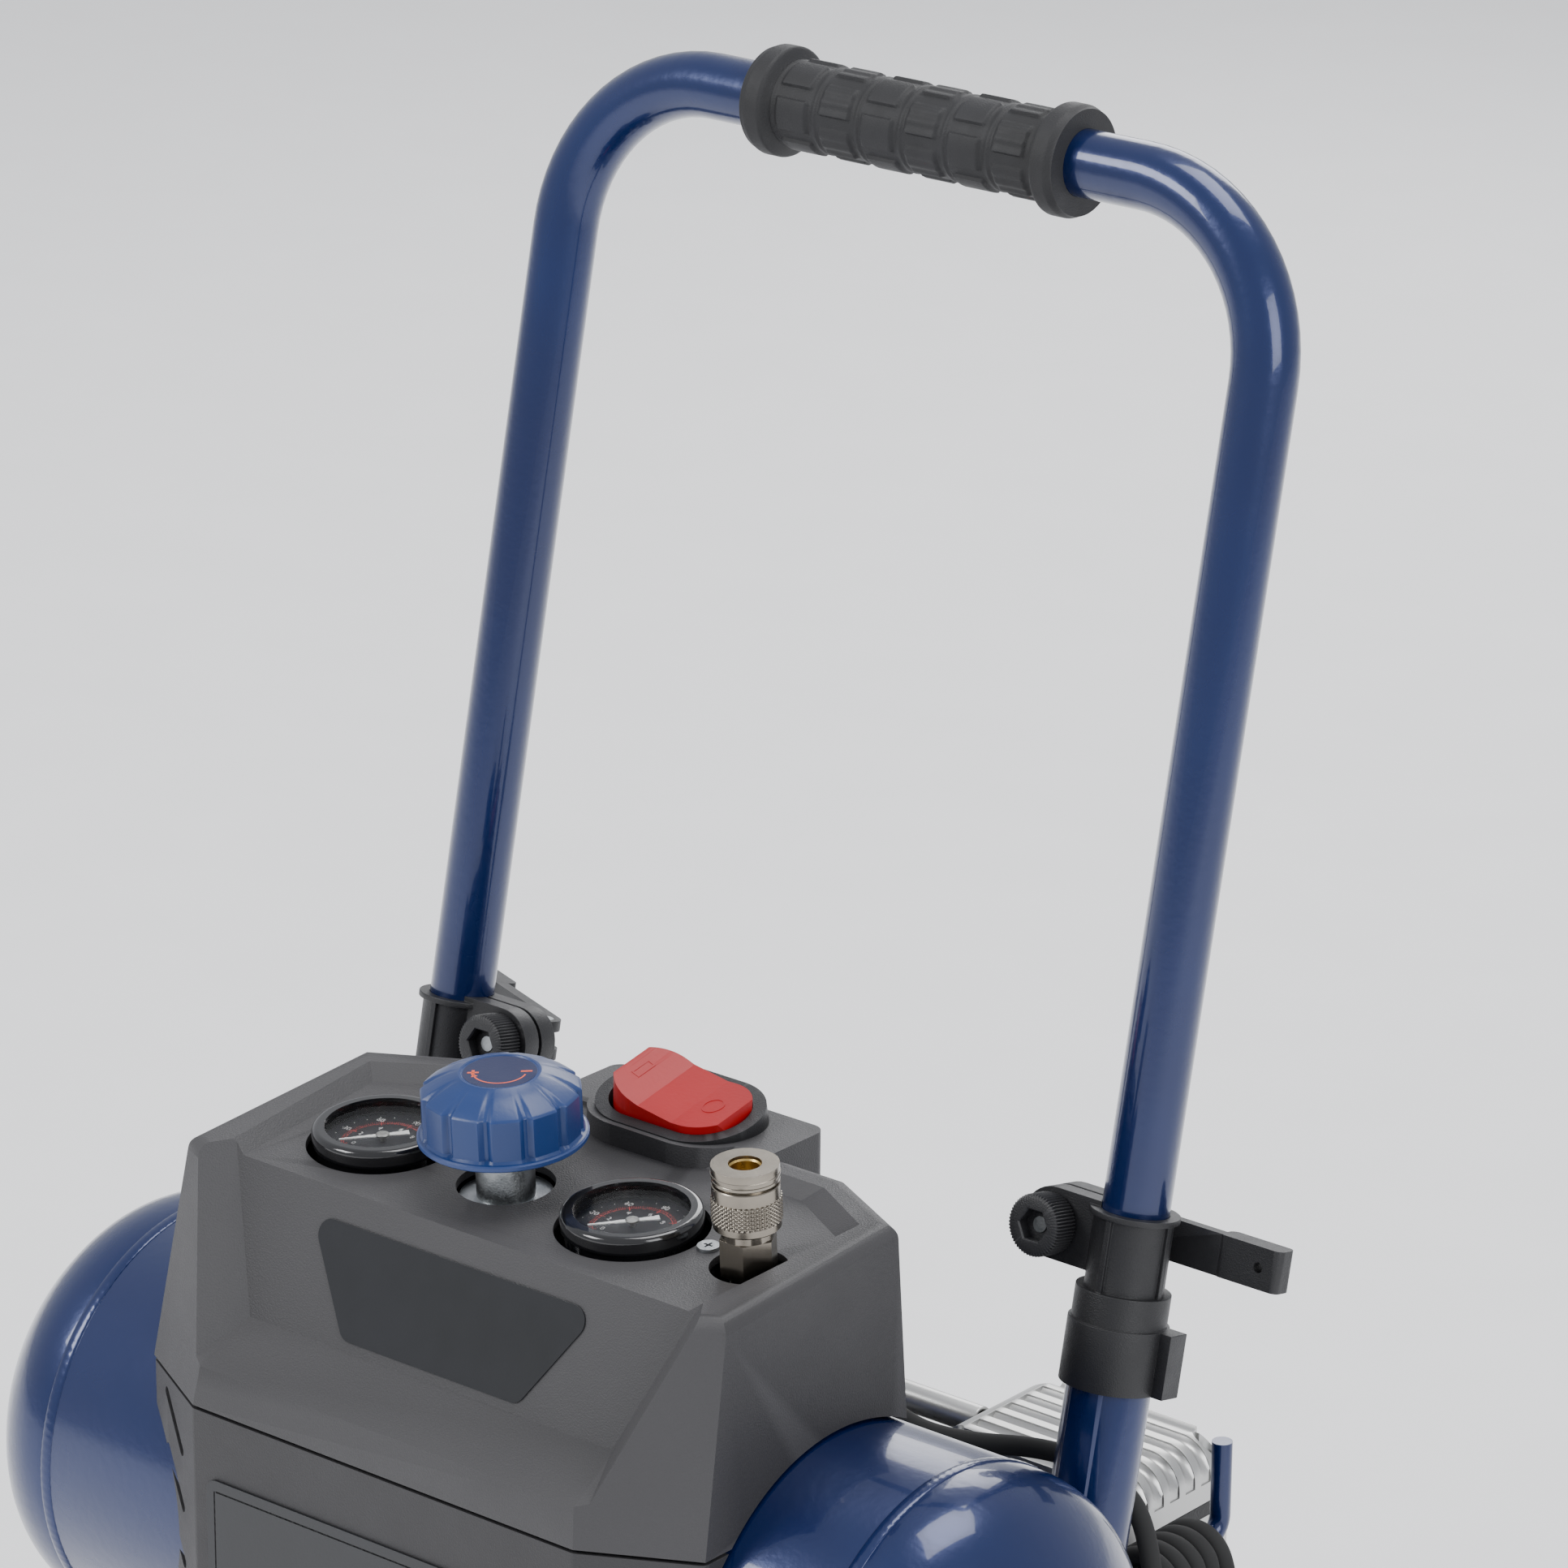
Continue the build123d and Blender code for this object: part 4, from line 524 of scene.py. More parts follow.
def merged(name: str, parts: Sequence[tuple[bpy.types.Object, Finish]]) -> bpy.types.Object:
    """Join several objects into one, keeping a finish for each.

    Args:
        name: The joined object's name.
        parts: Each object with its finish.

    Returns:
        The joined object.
    """
    points: list[Point] = []
    faces: list[tuple[int, ...]] = []
    marks: list[int] = []
    finishes: list[Finish] = []
    for piece, finish in parts:
        if finish not in finishes:
            finishes.append(finish)
        base = len(points)
        points.extend(tuple(vertex.co) for vertex in piece.data.vertices)
        for polygon in piece.data.polygons:
            faces.append(tuple(base + corner for corner in polygon.vertices))
            marks.append(finishes.index(finish))
        bpy.data.objects.remove(piece)
    mesh = bpy.data.meshes.new(name)
    mesh.from_pydata(points, [], faces)
    for finish in finishes:
        mesh.materials.append(finish.material())
    for polygon, mark in zip(mesh.polygons, marks):
        polygon.material_index = mark
    mesh.shade_smooth()
    mesh.set_sharp_from_angle(angle=math.radians(32.0))
    made = bpy.data.objects.new(name, mesh)
    bpy.context.scene.collection.objects.link(made)
    return made


def soften(piece: bpy.types.Object, width: float, angle: float = 28.0, segments: int = 3) -> None:
    """Round the crisp edges of a piece a little.

    Args:
        piece: The piece.
        width: Width of the rounded edge in metres.
        angle: Edges flatter than this many degrees stay as they are.
        segments: Steps across the rounded edge.
    """
    weld = piece.modifiers.new("weld", "WELD")
    weld.merge_threshold = 0.000002
    edge = piece.modifiers.new("soft_edges", "BEVEL")
    edge.width = width
    edge.segments = segments
    edge.limit_method = "ANGLE"
    edge.angle_limit = math.radians(angle)
    edge.use_clamp_overlap = True
    edge.harden_normals = False


def settle(piece: bpy.types.Object, body: str, slot: str, finish: Finish | None = None,
           stands_for: Iterable[str] = ()) -> bpy.types.Object:
    """Give a new piece its finish and its body, and report it with its slot.

    Args:
        piece: The piece.
        body: The CAD body that it rides on.
        slot: The record's material slot that it belongs to.
        finish: Its finish, if it has just one.
        stands_for: CAD nodes that it replaces.

    Returns:
        The same piece.
    """
    if finish is not None:
        piece.data.materials.clear()
        piece.data.materials.append(finish.material())
    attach(piece, body)
    nodes = tuple(stands_for)
    if nodes:
        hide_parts(*nodes)
    LOG.info("%s rides on %s, slot %s", piece.name, body, slot)
    return piece


def smoothstep(low: float, high: float, value: float) -> float:
    """Ease from 0 to 1 as a value goes from low to high.

    Args:
        low: Where the ease starts.
        high: Where it ends.
        value: The value.

    Returns:
        The eased share.
    """
    share = min(1.0, max(0.0, (value - low) / (high - low)))
    return share * share * (3.0 - 2.0 * share)


PANEL_AT, PANEL_DOWN = joint("knob_turn")
PANEL_UP = -PANEL_DOWN


def on_panel(x: float) -> Matrix:
    """Return the placement of a piece that stands on the control panel.

    Args:
        x: Where it stands across the panel.

    Returns:
        The placement.
    """
    return seat(Vector((x, PANEL_AT.y, PANEL_AT.z)), PANEL_UP)


# ---------------------------------------------------------------- sub-assemblies


@dataclass
class CarriedPieces:
    """The CAD pieces that keep their own shape and get a finish and rounded edges."""

    fine_edge: float = 0.0005
    plain: tuple[str, ...] = ("gauge_lenses", "stator", "rotor", "pistons")
    edges: tuple[tuple[str, float], ...] = (
        ("hood", 0.0016), ("front_cover", 0.0014), ("clamp_bodies", 0.0009),
        ("clamp_lever_left", 0.0012), ("clamp_lever_right", 0.0012), ("base_tray", 0.0012),
        ("cylinder_heads", 0.0011), ("cylinders", 0.0012), ("crankcases", 0.0016),
        ("fan_shrouds", 0.0009), ("switch_bezel", 0.0010), ("rocker", 0.0016), ("rubber_feet", 0.0014),
        ("cord_hooks", 0.0008), ("power_plug", 0.0012), ("wheel_hub_left", 0.0010),
        ("wheel_hub_right", 0.0010), ("tank_legs", 0.0008), ("face_plates", 0.0002),
        ("gauge_cases", 0.0003), ("intake_filters", 0.0015), ("motor_housing", 0.0012),
        ("handle_posts", 0.0003), ("gauge_dials", 0.0001),
    )

    def build(self) -> None:
        """Dress every CAD node."""
        slots = {part["node"]: part["material_slot"] for part in frame["record"]["subparts"]}
        widths = dict(self.edges)
        for name, node in frame["nodes"].items():
            node.data.materials.clear()
            node.data.materials.append(SLOT_FINISH[slots[name]].material())
            if name not in self.plain:
                soften(node, widths.get(name, self.fine_edge))
            LOG.info("%s keeps its CAD shape, slot %s", name, slots[name])


@dataclass
class Gauge:
    """One pressure gauge: its printed dial and its pointer."""

    tag: str
    turn_joint: str
    body: str
    face_r: float = 0.0229
    face_low: float = -0.0010
    face_top: float = -0.0005
    ink_lift: float = 0.00002
    top_psi: int = 180
    sweep_deg: float = 270.0
    zero_deg: float = 225.0
    point_deg: float = 229.0
    hole_r: float = 0.00106
    ticks_out: float = 0.0162
    tick_long: float = 0.0030
    tick_mid: float = 0.0016
    tick_short: float = 0.0010
    tick_wide: float = 0.00034
    tick_thin: float = 0.00016
    rim_tick_in: float = 0.0196
    rim_tick_w: float = 0.00022
    arc_r: float = 0.0146
    arc_w: float = 0.0002
    figure_size: float = 0.0035
    figure_r: float = 0.0183
    figure_up_r: float = 0.0182
    small_size: float = 0.0031
    small_r: float = 0.0110
    psi_per_bar: float = 14.5

    def _angle(self, pressure: float) -> float:
        """Return the dial angle of a pressure, in radians."""
        return math.radians(self.zero_deg - self.sweep_deg * pressure / self.top_psi)

    def _mark(self, place: Matrix, name: str, pressure: float, inner: float, outer: float,
              width: float) -> bpy.types.Object:
        """Make one scale line between two radii.

        Args:
            place: Where the dial is.
            name: The object's name.
            pressure: The pressure that it marks.
            inner: Where it starts, from the dial's middle.
            outer: Where it ends.
            width: How wide it is.

        Returns:
            The line.
        """
        angle = self._angle(pressure)
        middle = (inner + outer) / 2
        outline = bar(middle * math.cos(angle), middle * math.sin(angle), outer - inner, width, angle)
        return plate(name, outline, self.face_top, self.face_top + self.ink_lift, place)

    def dial(self) -> list[tuple[bpy.types.Object, Finish]]:
        """Make the dial's face, scales and figures.

        Returns:
            Each piece with its finish.
        """
        centre, _ = joint(self.turn_joint)
        place = on_panel(centre.x)
        top = self.face_top
        profile = [(self.hole_r, self.face_low), (self.face_r, self.face_low), (self.face_r, top),
                   (self.hole_r, top)]
        parts = [(turned(self.tag + "_face", profile, place), DIAL_FACE)]
        for step in range(0, 91):
            pressure = step * 2
            long_mark = pressure % 30 == 0
            plain = self.tick_mid if pressure % 10 == 0 else self.tick_short
            length = self.tick_long if long_mark else plain
            width = self.tick_wide if long_mark else self.tick_thin
            inner = self.ticks_out - length
            parts.append((self._mark(place, "red", pressure, inner, self.ticks_out, width), RED_INK))
            if pressure % 10 == 0:
                outer = self.rim_tick_in + (0.0010 if long_mark else 0.0006)
                rim = self._mark(place, "white", pressure, self.rim_tick_in, outer, self.rim_tick_w)
                parts.append((rim, WHITE_INK))
        scale = arc_band(self.arc_r, self.arc_w, -45.0, 225.0, 80)
        parts.append((plate("arc", scale, top, top + self.ink_lift, place), RED_INK))
        for pressure in range(0, self.top_psi + 1, 30):
            angle = self._angle(pressure)
            x, y = self.figure_r * math.cos(angle), self.figure_up_r * math.sin(angle)
            words = lettering("figure", str(pressure), self.figure_size, x, y, top, place)
            parts.append((words, WHITE_INK))
        for level in range(0, 13, 2):
            angle = self._angle(level * self.psi_per_bar)
            x, y = self.small_r * math.cos(angle), self.small_r * math.sin(angle)
            words = lettering("small_figure", str(level), self.small_size, x, y, top, place)
            parts.append((words, WHITE_INK))
        return parts

    def pointer(self, node: str) -> None:
        """Build the pointer with its broad tail and its hub.

        Args:
            node: The CAD pointer that it replaces.
        """
        centre, _ = joint(self.turn_joint)
        turn = Matrix.Rotation(math.radians(self.point_deg), 4, "Z")
        place = on_panel(centre.x) @ turn
        blade = [(-0.0100, -0.0017), (-0.0100, 0.0017), (-0.0020, 0.0010), (0.0, 0.0012), (0.0163, 0.00035),
                 (0.0163, -0.00035), (0.0, -0.0012), (-0.0020, -0.0010)]
        hub = [(0.0, 0.0013), (0.0023, 0.0013), (0.0026, 0.0016), (0.0026, 0.0022), (0.0021, 0.0026),
               (0.0012, 0.0026), (0.0010, 0.0024), (0.0, 0.0024)]
        pin = [(0.00001, -0.0058), (0.0009, -0.0058), (0.0009, 0.0015), (0.00001, 0.0015)]
        parts = [(plate("blade", blade[::-1], 0.0016, 0.0020, place), NEEDLE_WHITE),
                 (turned("hub", [(max(r, 0.00001), z) for r, z in hub], place, 40), NEEDLE_HUB),
                 (turned("pin", pin, place, 24), NEEDLE_HUB)]
        settle(merged(self.tag + "_pointer_set", parts), self.body, "pointer_white", None, (node,))


@dataclass
class GaugePair:
    """Both gauges, whose dials are one printed set."""

    def build(self) -> None:
        """Build both dials and pointers."""
        tank = Gauge("tank", "tank_pointer_turn", "tank_pointer")
        tool = Gauge("tool", "tool_pointer_turn", "tool_pointer")
        dials = merged("printed_dials", tank.dial() + tool.dial())
        settle(dials, CHASSIS, "dial_print", None, ("gauge_dials",))
        tank.pointer("tank_needle")
        tool.pointer("tool_needle")


@dataclass
class PressureKnob:
    """The twelve lobed regulator knob with its printed disc."""

    lobes: int = 12
    steps: int = 288
    skirt_r: float = 0.0317
    wall_r: float = 0.0302
    cone_r: float = 0.0158
    disc_r: float = 0.0140
    low: float = 0.0190
    skirt_h: float = 0.0024
    wall_top: float = 0.0385
    top: float = 0.0452
    flute: float = 0.0019
    stem_r: float = 0.01105
    stem_depth: float = 0.0192
    marks_deg: float = 219.6
    mark_r: float = 0.0098
    mark_len: float = 0.0042
    mark_w: float = 0.0011
    arrow_w: float = 0.0006
    head_half: float = 0.0013
    mark_gap_deg: float = 16.0

    def _radius(self, angle: float, base: float, share: float) -> float:
        """Return the outline radius at an angle.

        Args:
            angle: In radians.
            base: The radius of the lobes.
            share: How deep the flutes are here, from 0 to 1.

        Returns:
            The radius.
        """
        half = math.pi / self.lobes
        off = (angle + half) % (2.0 * half) - half
        flat = base * math.cos(half) / math.cos(abs(off) - half)
        notch = 1.0 - smoothstep(0.02, 0.09, abs(off))
        facet = base + (flat - base) * 0.60 * share
        return facet - self.flute * share * notch

    def build(self) -> None:
        """Build the knob and the disc's marks."""
        place = on_panel(PANEL_AT.x)
        levels = [
            (self.stem_r, self.low, 0.0), (0.0150, self.low, 0.0), (0.0150, self.low + 0.016, 0.0),
            (0.0270, self.low + 0.016, 0.0), (0.0270, self.low, 0.0),
            (self.skirt_r - 0.0006, self.low, 0.0), (self.skirt_r, self.low + 0.0006, 0.0),
            (self.skirt_r, self.low + self.skirt_h - 0.0005, 0.0),
            (self.skirt_r - 0.0006, self.low + self.skirt_h, 0.0),
            (self.wall_r + 0.0003, self.low + self.skirt_h + 0.0002, 0.35),
            (self.wall_r, self.low + self.skirt_h + 0.0012, 1.0),
            (self.wall_r - 0.0001, self.wall_top - 0.0007, 1.0),
            (self.wall_r - 0.0004, self.wall_top - 0.0002, 1.0),
            (self.wall_r - 0.0011, self.wall_top + 0.0003, 0.98),
            (0.0262, self.wall_top + 0.0022, 0.8), (0.0225, self.wall_top + 0.0040, 0.5),
            (0.0190, self.wall_top + 0.0055, 0.15), (self.cone_r, self.top - 0.0003, 0.0),
            (self.cone_r - 0.0005, self.top, 0.0), (self.disc_r + 0.0004, self.top, 0.0),
            (self.disc_r, self.top - 0.0004, 0.0), (0.00002, self.top - 0.0004, 0.0),
            (0.00002, self.low + self.stem_depth, 0.0), (self.stem_r, self.low + self.stem_depth, 0.0),
        ]
        rings = []
        for radius, height, share in levels:
            ring = []
            for step in range(self.steps):
                angle = 2.0 * math.pi * step / self.steps
                reach = self._radius(angle, radius, share) if share else radius
                ring.append((reach * math.cos(angle), reach * math.sin(angle), height))
            rings.append(ring)
        shell = skin("knob_shell", rings, place, wrap=True, sharp=24.0)
        settle(shell, "knob", "knob_blue", KNOB_BLUE, ("regulator_knob",))
        low = self.top - 0.0004
        disc = turned("disc", [(0.00002, low - 0.0001), (self.disc_r - 0.0003, low - 0.0001),
                               (self.disc_r - 0.0003, low + 0.0001), (0.00002, low + 0.0001)], place)
        high = low + 0.00015
        marks = [(disc, KNOB_DISC)]
        across = math.radians(self.marks_deg)
        for name, sign, turns in (("plus", 1.0, (0.0, math.pi / 2)), ("minus", -1.0, (0.0,))):
            x, y = sign * self.mark_r * math.cos(across), sign * self.mark_r * math.sin(across)
            for turn in turns:
                outline = bar(x, y, self.mark_len, self.mark_w, across + turn)
                marks.append((plate(name, outline, low, high, place), ORANGE_INK))
        start, end = self.marks_deg + self.mark_gap_deg, self.marks_deg + 180.0 - self.mark_gap_deg
        arrow = arc_band(self.mark_r, self.arrow_w, start, end, 40)
        marks.append((plate("arrow_arc", arrow, low, high, place), ORANGE_INK))
        head = []
        for radius, degrees in ((self.mark_r, start - 9.0), (self.mark_r + self.head_half, start + 5.0),
                                (self.mark_r - self.head_half, start + 5.0)):
            turn = math.radians(degrees)
            head.append((radius * math.cos(turn), radius * math.sin(turn)))
        marks.append((plate("arrow_head", head[::-1], low, high, place), ORANGE_INK))
        settle(merged("knob_marks", marks), "knob", "knob_blue")


@dataclass
class Coupler:
    """The quick coupler's knurled sleeve, its ring and the brass in its bore."""

    steps: int = 160
    low: float = 0.0162
    top: float = 0.0360
    knurl_low: float = 0.0195
    knurl_top: float = 0.0285
    outer_r: float = 0.0130
    inner_r: float = 0.00965
    knurl_depth: float = 0.0006
    knurl_rows: int = 54
    knurl_starts: int = 40
    bore_r: float = 0.0061

    def build(self) -> None:
        """Build the sleeve, the snap ring and the bore liner."""
        mount = next(item for item in frame["record"]["mounts"] if item["name"] == "air_outlet")
        place = on_panel(mount["pos_m"][0])
        below = [(self.inner_r, self.low), (0.0118, self.low), (0.0124, self.low + 0.0006),
                 (0.0124, self.knurl_low - 0.0006), (self.outer_r - self.knurl_depth, self.knurl_low)]
        above = [(self.outer_r - self.knurl_depth, self.knurl_top), (0.0124, self.knurl_top + 0.0004),
                 (0.0124, self.top - 0.0028), (0.0121, self.top - 0.0025), (0.0110, self.top - 0.0025),
                 (0.0110, self.top - 0.0015), (0.0121, self.top - 0.0015), (0.0124, self.top - 0.0012),
                 (0.0124, self.top - 0.0003), (0.0121, self.top), (self.inner_r, self.top)]
        span = self.knurl_top - self.knurl_low
        middle = [(self.outer_r - self.knurl_depth, self.knurl_low + span * (row + 0.5) / self.knurl_rows)
                  for row in range(self.knurl_rows)]
        profile = below + middle + above
        first = len(below)
        last = first + self.knurl_rows

        def knurl(angle: float, number: int) -> float:
            """Return the knurl's height at an angle on one row.

            Args:
                angle: In radians.
                number: The profile point's number.

            Returns:
                The extra radius.
            """
            if number < first or number >= last:
                return 0.0
            turn = self.knurl_starts * angle
            climb = 2.0 * math.pi * (number - first) / 9.0
            ridge = abs(math.sin((turn + climb) / 2)) * abs(math.sin((turn - climb) / 2))
            return self.knurl_depth * ridge

        sleeve = turned("knurled_sleeve", profile, place, self.steps * 2, True, knurl)
        settle(sleeve, "sleeve", "nickel", NICKEL, ("coupler_sleeve",))
        outer, mouth, seat_r = self.bore_r - 0.0001, self.bore_r - 0.0007, self.bore_r - 0.0016
        liner = [(outer, 0.0190), (outer, 0.0396), (mouth, 0.0390), (mouth, 0.0325), (seat_r, 0.0315),
                 (seat_r, 0.0190)]
        settle(turned("bore_liner", liner, place, 64), CHASSIS, "brass", BRASS)
        ring = [(0.01235, 0.0372), (0.01262, 0.0374), (0.01262, 0.0378), (0.01235, 0.0380)]
        settle(turned("snap_ring", ring, place, 96), CHASSIS, "nickel", NICKEL)


@dataclass
class Grip:
    """The rubber grip on the handle's bar, with end collars and raised blocks."""

    columns: int = 236
    steps: int = 144
    inner_r: float = 0.01275
    body_r: float = 0.0163
    collar_r: float = 0.0212
    collar_w: float = 0.0125
    block_rise: float = 0.0012
    bands: int = 6
    blocks: int = 6

    def _rise(self, along: float, angle: float, length: float) -> float:
        """Return the surface radius at a place on the grip.

        Args:
            along: Distance from one end.
            angle: Angle round the grip, in radians.
            length: The grip's whole length.

        Returns:
            The radius.
        """
        edge = min(along, length - along)
        if edge < self.collar_w:
            drop = smoothstep(0.0, 0.0035, edge)
            fall = 1.0 - smoothstep(self.collar_w - 0.0035, self.collar_w, edge)
            return self.body_r + (self.collar_r - self.body_r) * (0.75 * fall + 0.25 * fall * drop)
        room = length - 2.0 * self.collar_w
        band = (along - self.collar_w) / room * self.bands
        row = int(min(band, self.bands - 1e-6))
        inside = band - row
        across = smoothstep(0.10, 0.16, inside) * (1.0 - smoothstep(0.80, 0.86, inside))
        turn = (angle / (2.0 * math.pi) * self.blocks + 0.5 * (row % 2)) % 1.0
        around = smoothstep(0.12, 0.17, turn) * (1.0 - smoothstep(0.83, 0.88, turn))
        comb = 0.65 + 0.35 * smoothstep(-0.2, 0.2, math.sin(turn * 2.0 * math.pi * 4.0)) if row % 2 else 1.0
        ring = 0.35 * (1.0 - smoothstep(0.0, 0.07, min(inside, 1.0 - inside)))
        return self.body_r + self.block_rise * max(across * around * comb, ring)

    def build(self) -> None:
        """Build the grip round the handle's bar."""
        low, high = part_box("handle_grip")
        low, high = Vector(low), Vector(high)
        middle = (low + high) / 2
        length = high.x - low.x
        place = seat(Vector((low.x, middle.y, middle.z)), Vector((1.0, 0.0, 0.0)), Vector((0.0, 0.0, 1.0)))
        rings = []
        inner = []
        for column in range(self.columns + 1):
            along = length * column / self.columns
            ring = []
            for step in range(self.steps):
                angle = 2.0 * math.pi * step / self.steps
                reach = self._rise(along, angle, length)
                ring.append((reach * math.cos(angle), reach * math.sin(angle), along))
            rings.append(ring)
        for along in (length, 0.0):
            inner.append([(self.inner_r * math.cos(2.0 * math.pi * step / self.steps),
                           self.inner_r * math.sin(2.0 * math.pi * step / self.steps), along)
                          for step in range(self.steps)])
        grip = skin("ribbed_grip", rings + inner, place, wrap=True, sharp=50.0)
        settle(grip, "handle", "grip_rubber", GRIP_RUBBER, ("handle_grip",))


@dataclass
class ClampSet:
    """The knurled thumb nuts on both handle clamps."""

    nut_r: float = 0.0114
    nut_low: float = -0.0210
    nut_high: float = -0.0092
    hex_r: float = 0.0064
    hex_depth: float = 0.0050
    screw_r: float = 0.00306
    teeth: int = 56
    tooth: float = 0.00042

    def _nut(self, tag: str) -> None:
        """Build one thumb nut.

        Args:
            tag: Which side, left or right.
        """
        centre, axis = joint(tag + "_nut_turn")
        place = seat(centre, axis)
        steps = self.teeth * 6

        def ring(reach: float, height: float, toothed: float, six: bool = False) -> list[Point]:
            """Return one ring of the nut.

            Args:
                reach: The ring's radius.
                height: Its height.
                toothed: How deep the teeth are here, from 0 to 1.
                six: True gives a hexagon.

            Returns:
                The ring's points.
            """
            points = []
            for step in range(steps):
                angle = 2.0 * math.pi * step / steps
                wave = self.tooth * toothed * math.cos(self.teeth * angle)
                out = reach + wave
                if six:
                    sector = math.pi / 3.0
                    out = reach * math.cos(sector / 2) / math.cos((angle % sector) - sector / 2)
                points.append((out * math.cos(angle), out * math.sin(angle), height))
            return points

        front = self.nut_low
        floor = front + self.hex_depth
        rings = [
            ring(self.screw_r, self.nut_high, 0.0), ring(self.nut_r - 0.0012, self.nut_high, 0.0),
            ring(self.nut_r - 0.0002, self.nut_high - 0.0006, 0.6),
            ring(self.nut_r, self.nut_high - 0.0012, 1.0),
            ring(self.nut_r, front + 0.0012, 1.0), ring(self.nut_r - 0.0004, front + 0.0005, 0.6),
            ring(self.nut_r - 0.0016, front, 0.0), ring(self.hex_r + 0.0006, front, 0.0, True),
            ring(self.hex_r, front + 0.0006, 0.0, True), ring(self.hex_r, floor, 0.0, True),
            ring(self.screw_r, floor, 0.0),
        ]
        nut = skin(tag + "_thumb_nut", rings[::-1], place, wrap=True, sharp=38.0)
        settle(nut, tag + "_nut", "black_plastic", BLACK_PLASTIC, ("clamp_nut_" + tag,))

    def build(self) -> None:
        """Build both sides."""
        for tag in ("left", "right"):
            self._nut(tag)


@dataclass
class SwitchMarks:
    """The off ring and the on bar moulded into the red rocker's slopes."""

    lift: float = 0.00018
    sink: float = 0.0005
    reach: float = 0.0165
    ring_r: float = 0.0036
    line: float = 0.0007
    bar_w: float = 0.0022
    bar_len: float = 0.0085
    above: float = 0.06

    def _draped(self, name: str, inner: Sequence[tuple[float, float]], outer: Sequence[tuple[float, float]],
                middle: float) -> bpy.types.Object:
        """Lay a flat outline, with its hole, on the rocker's top.

        Args:
            name: The object's name.
            inner: The hole's corners, along the rocker and across it.
            outer: The outline's corners, as many as the hole's.
            middle: Where the outline's middle is along the rocker.

        Returns:
            The raised line.
        """
        rocker = frame["nodes"]["rocker"]
        tree = BVHTree.FromPolygons([rocker.matrix_world @ vertex.co for vertex in rocker.data.vertices],
                                    [tuple(face.vertices) for face in rocker.data.polygons])
        pin, axis = joint("rocker_tip")
        side = Vector((1.0, 0.0, 0.0))
        up = side.cross(axis)
        up = up if up.z > 0.0 else -up
        rings = []
        loops = ((inner, -self.sink), (outer, -self.sink), (outer, self.lift), (inner, self.lift))
        for corners, drop in loops:
            ring = []
            for along, over in corners:
                start = pin + side * (middle + along) + axis * over + up * self.above
                hit = tree.ray_cast(start, -up)[0]
                ring.append(tuple(hit + up * drop))
            rings.append(ring)
        return skin(name, rings, Matrix.Identity(4), wrap=True)

    def build(self) -> None:
        """Build the ring at the low end and the bar at the high one."""
        turns = [2.0 * math.pi * step / 48 for step in range(48)]
        circles = [[(radius * math.cos(turn), 1.15 * radius * math.sin(turn)) for turn in turns]
                   for radius in (self.ring_r, self.ring_r + self.line)]
        boxes = [bar(0.0, 0.0, self.bar_w + grow, self.bar_len + grow, 0.0)
                 for grow in (0.0, 2.0 * self.line)]
        parts = [(self._draped("off_ring", circles[0], circles[1], self.reach), ROCKER_RED),
                 (self._draped("on_bar", boxes[0], boxes[1], -self.reach), ROCKER_RED)]
        settle(merged("rocker_marks", parts), "switch_rocker", "rocker_red")


@dataclass
class HeadWebs:
    """The shallow hollows between the cooling fins of both cylinder heads."""

    pitch: float = 0.010
    count: int = 7
    half_w: float = 0.0031
    end_r: float = 0.014
    hollow: float = 0.0026
    floor_h: float = 0.0075
    bolt_room: float = 0.0145
    steps: int = 40

    def _web(self, start: float, end: float, low: float, high: float, y: float,
             edges: tuple[float, float]) -> bpy.types.Object:
        """Build one hollow's floor, which follows the head's rounded ends.

        Args:
            start: Where it starts along X.
            end: Where it ends along X.
            low: Height of its underside.
            high: Height of the fins' tops.
            y: Its middle across the fins.
            edges: Where the head itself starts and ends along X.

        Returns:
            The piece.
        """
        rings = []
        for step in range(self.steps + 1):
            x = start + (end - start) * step / self.steps
            inside = min(x - edges[0], edges[1] - x, self.end_r)
            drop = self.end_r - math.sqrt(max(0.0, self.end_r ** 2 - (self.end_r - inside) ** 2))
            ring = [(x, y + self.half_w, low), (x, y - self.half_w, low)]
            for turn in range(-4, 5):
                share = turn / 4.0
                z = high - drop - self.hollow * (1.0 - 0.75 * share ** 2)
                ring.append((x, y + self.half_w * share, max(z, low + 0.0002)))
            rings.append(ring)
        return skin("web", rings, Matrix.Identity(4))

    def build(self) -> None:
        """Build the hollows of both heads as one piece."""
        low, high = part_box("cylinder_heads")
        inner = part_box("motor_housing")[1][0]
        middle = (low[1] + high[1]) / 2
        parts = []
        for side in (-1.0, 1.0):
            edges = tuple(sorted((side * inner, side * high[0])))
            for number in range(self.count):
                y = middle + self.pitch * (number - (self.count - 1) / 2)
                room = self.bolt_room if number in (0, self.count - 1) else 0.0006
                web = self._web(edges[0] + room, edges[1] - room, low[2] + self.floor_h, high[2], y, edges)
                parts.append((web, ALUMINIUM))
        settle(merged("head_webs", parts), CHASSIS, "cast_aluminium")


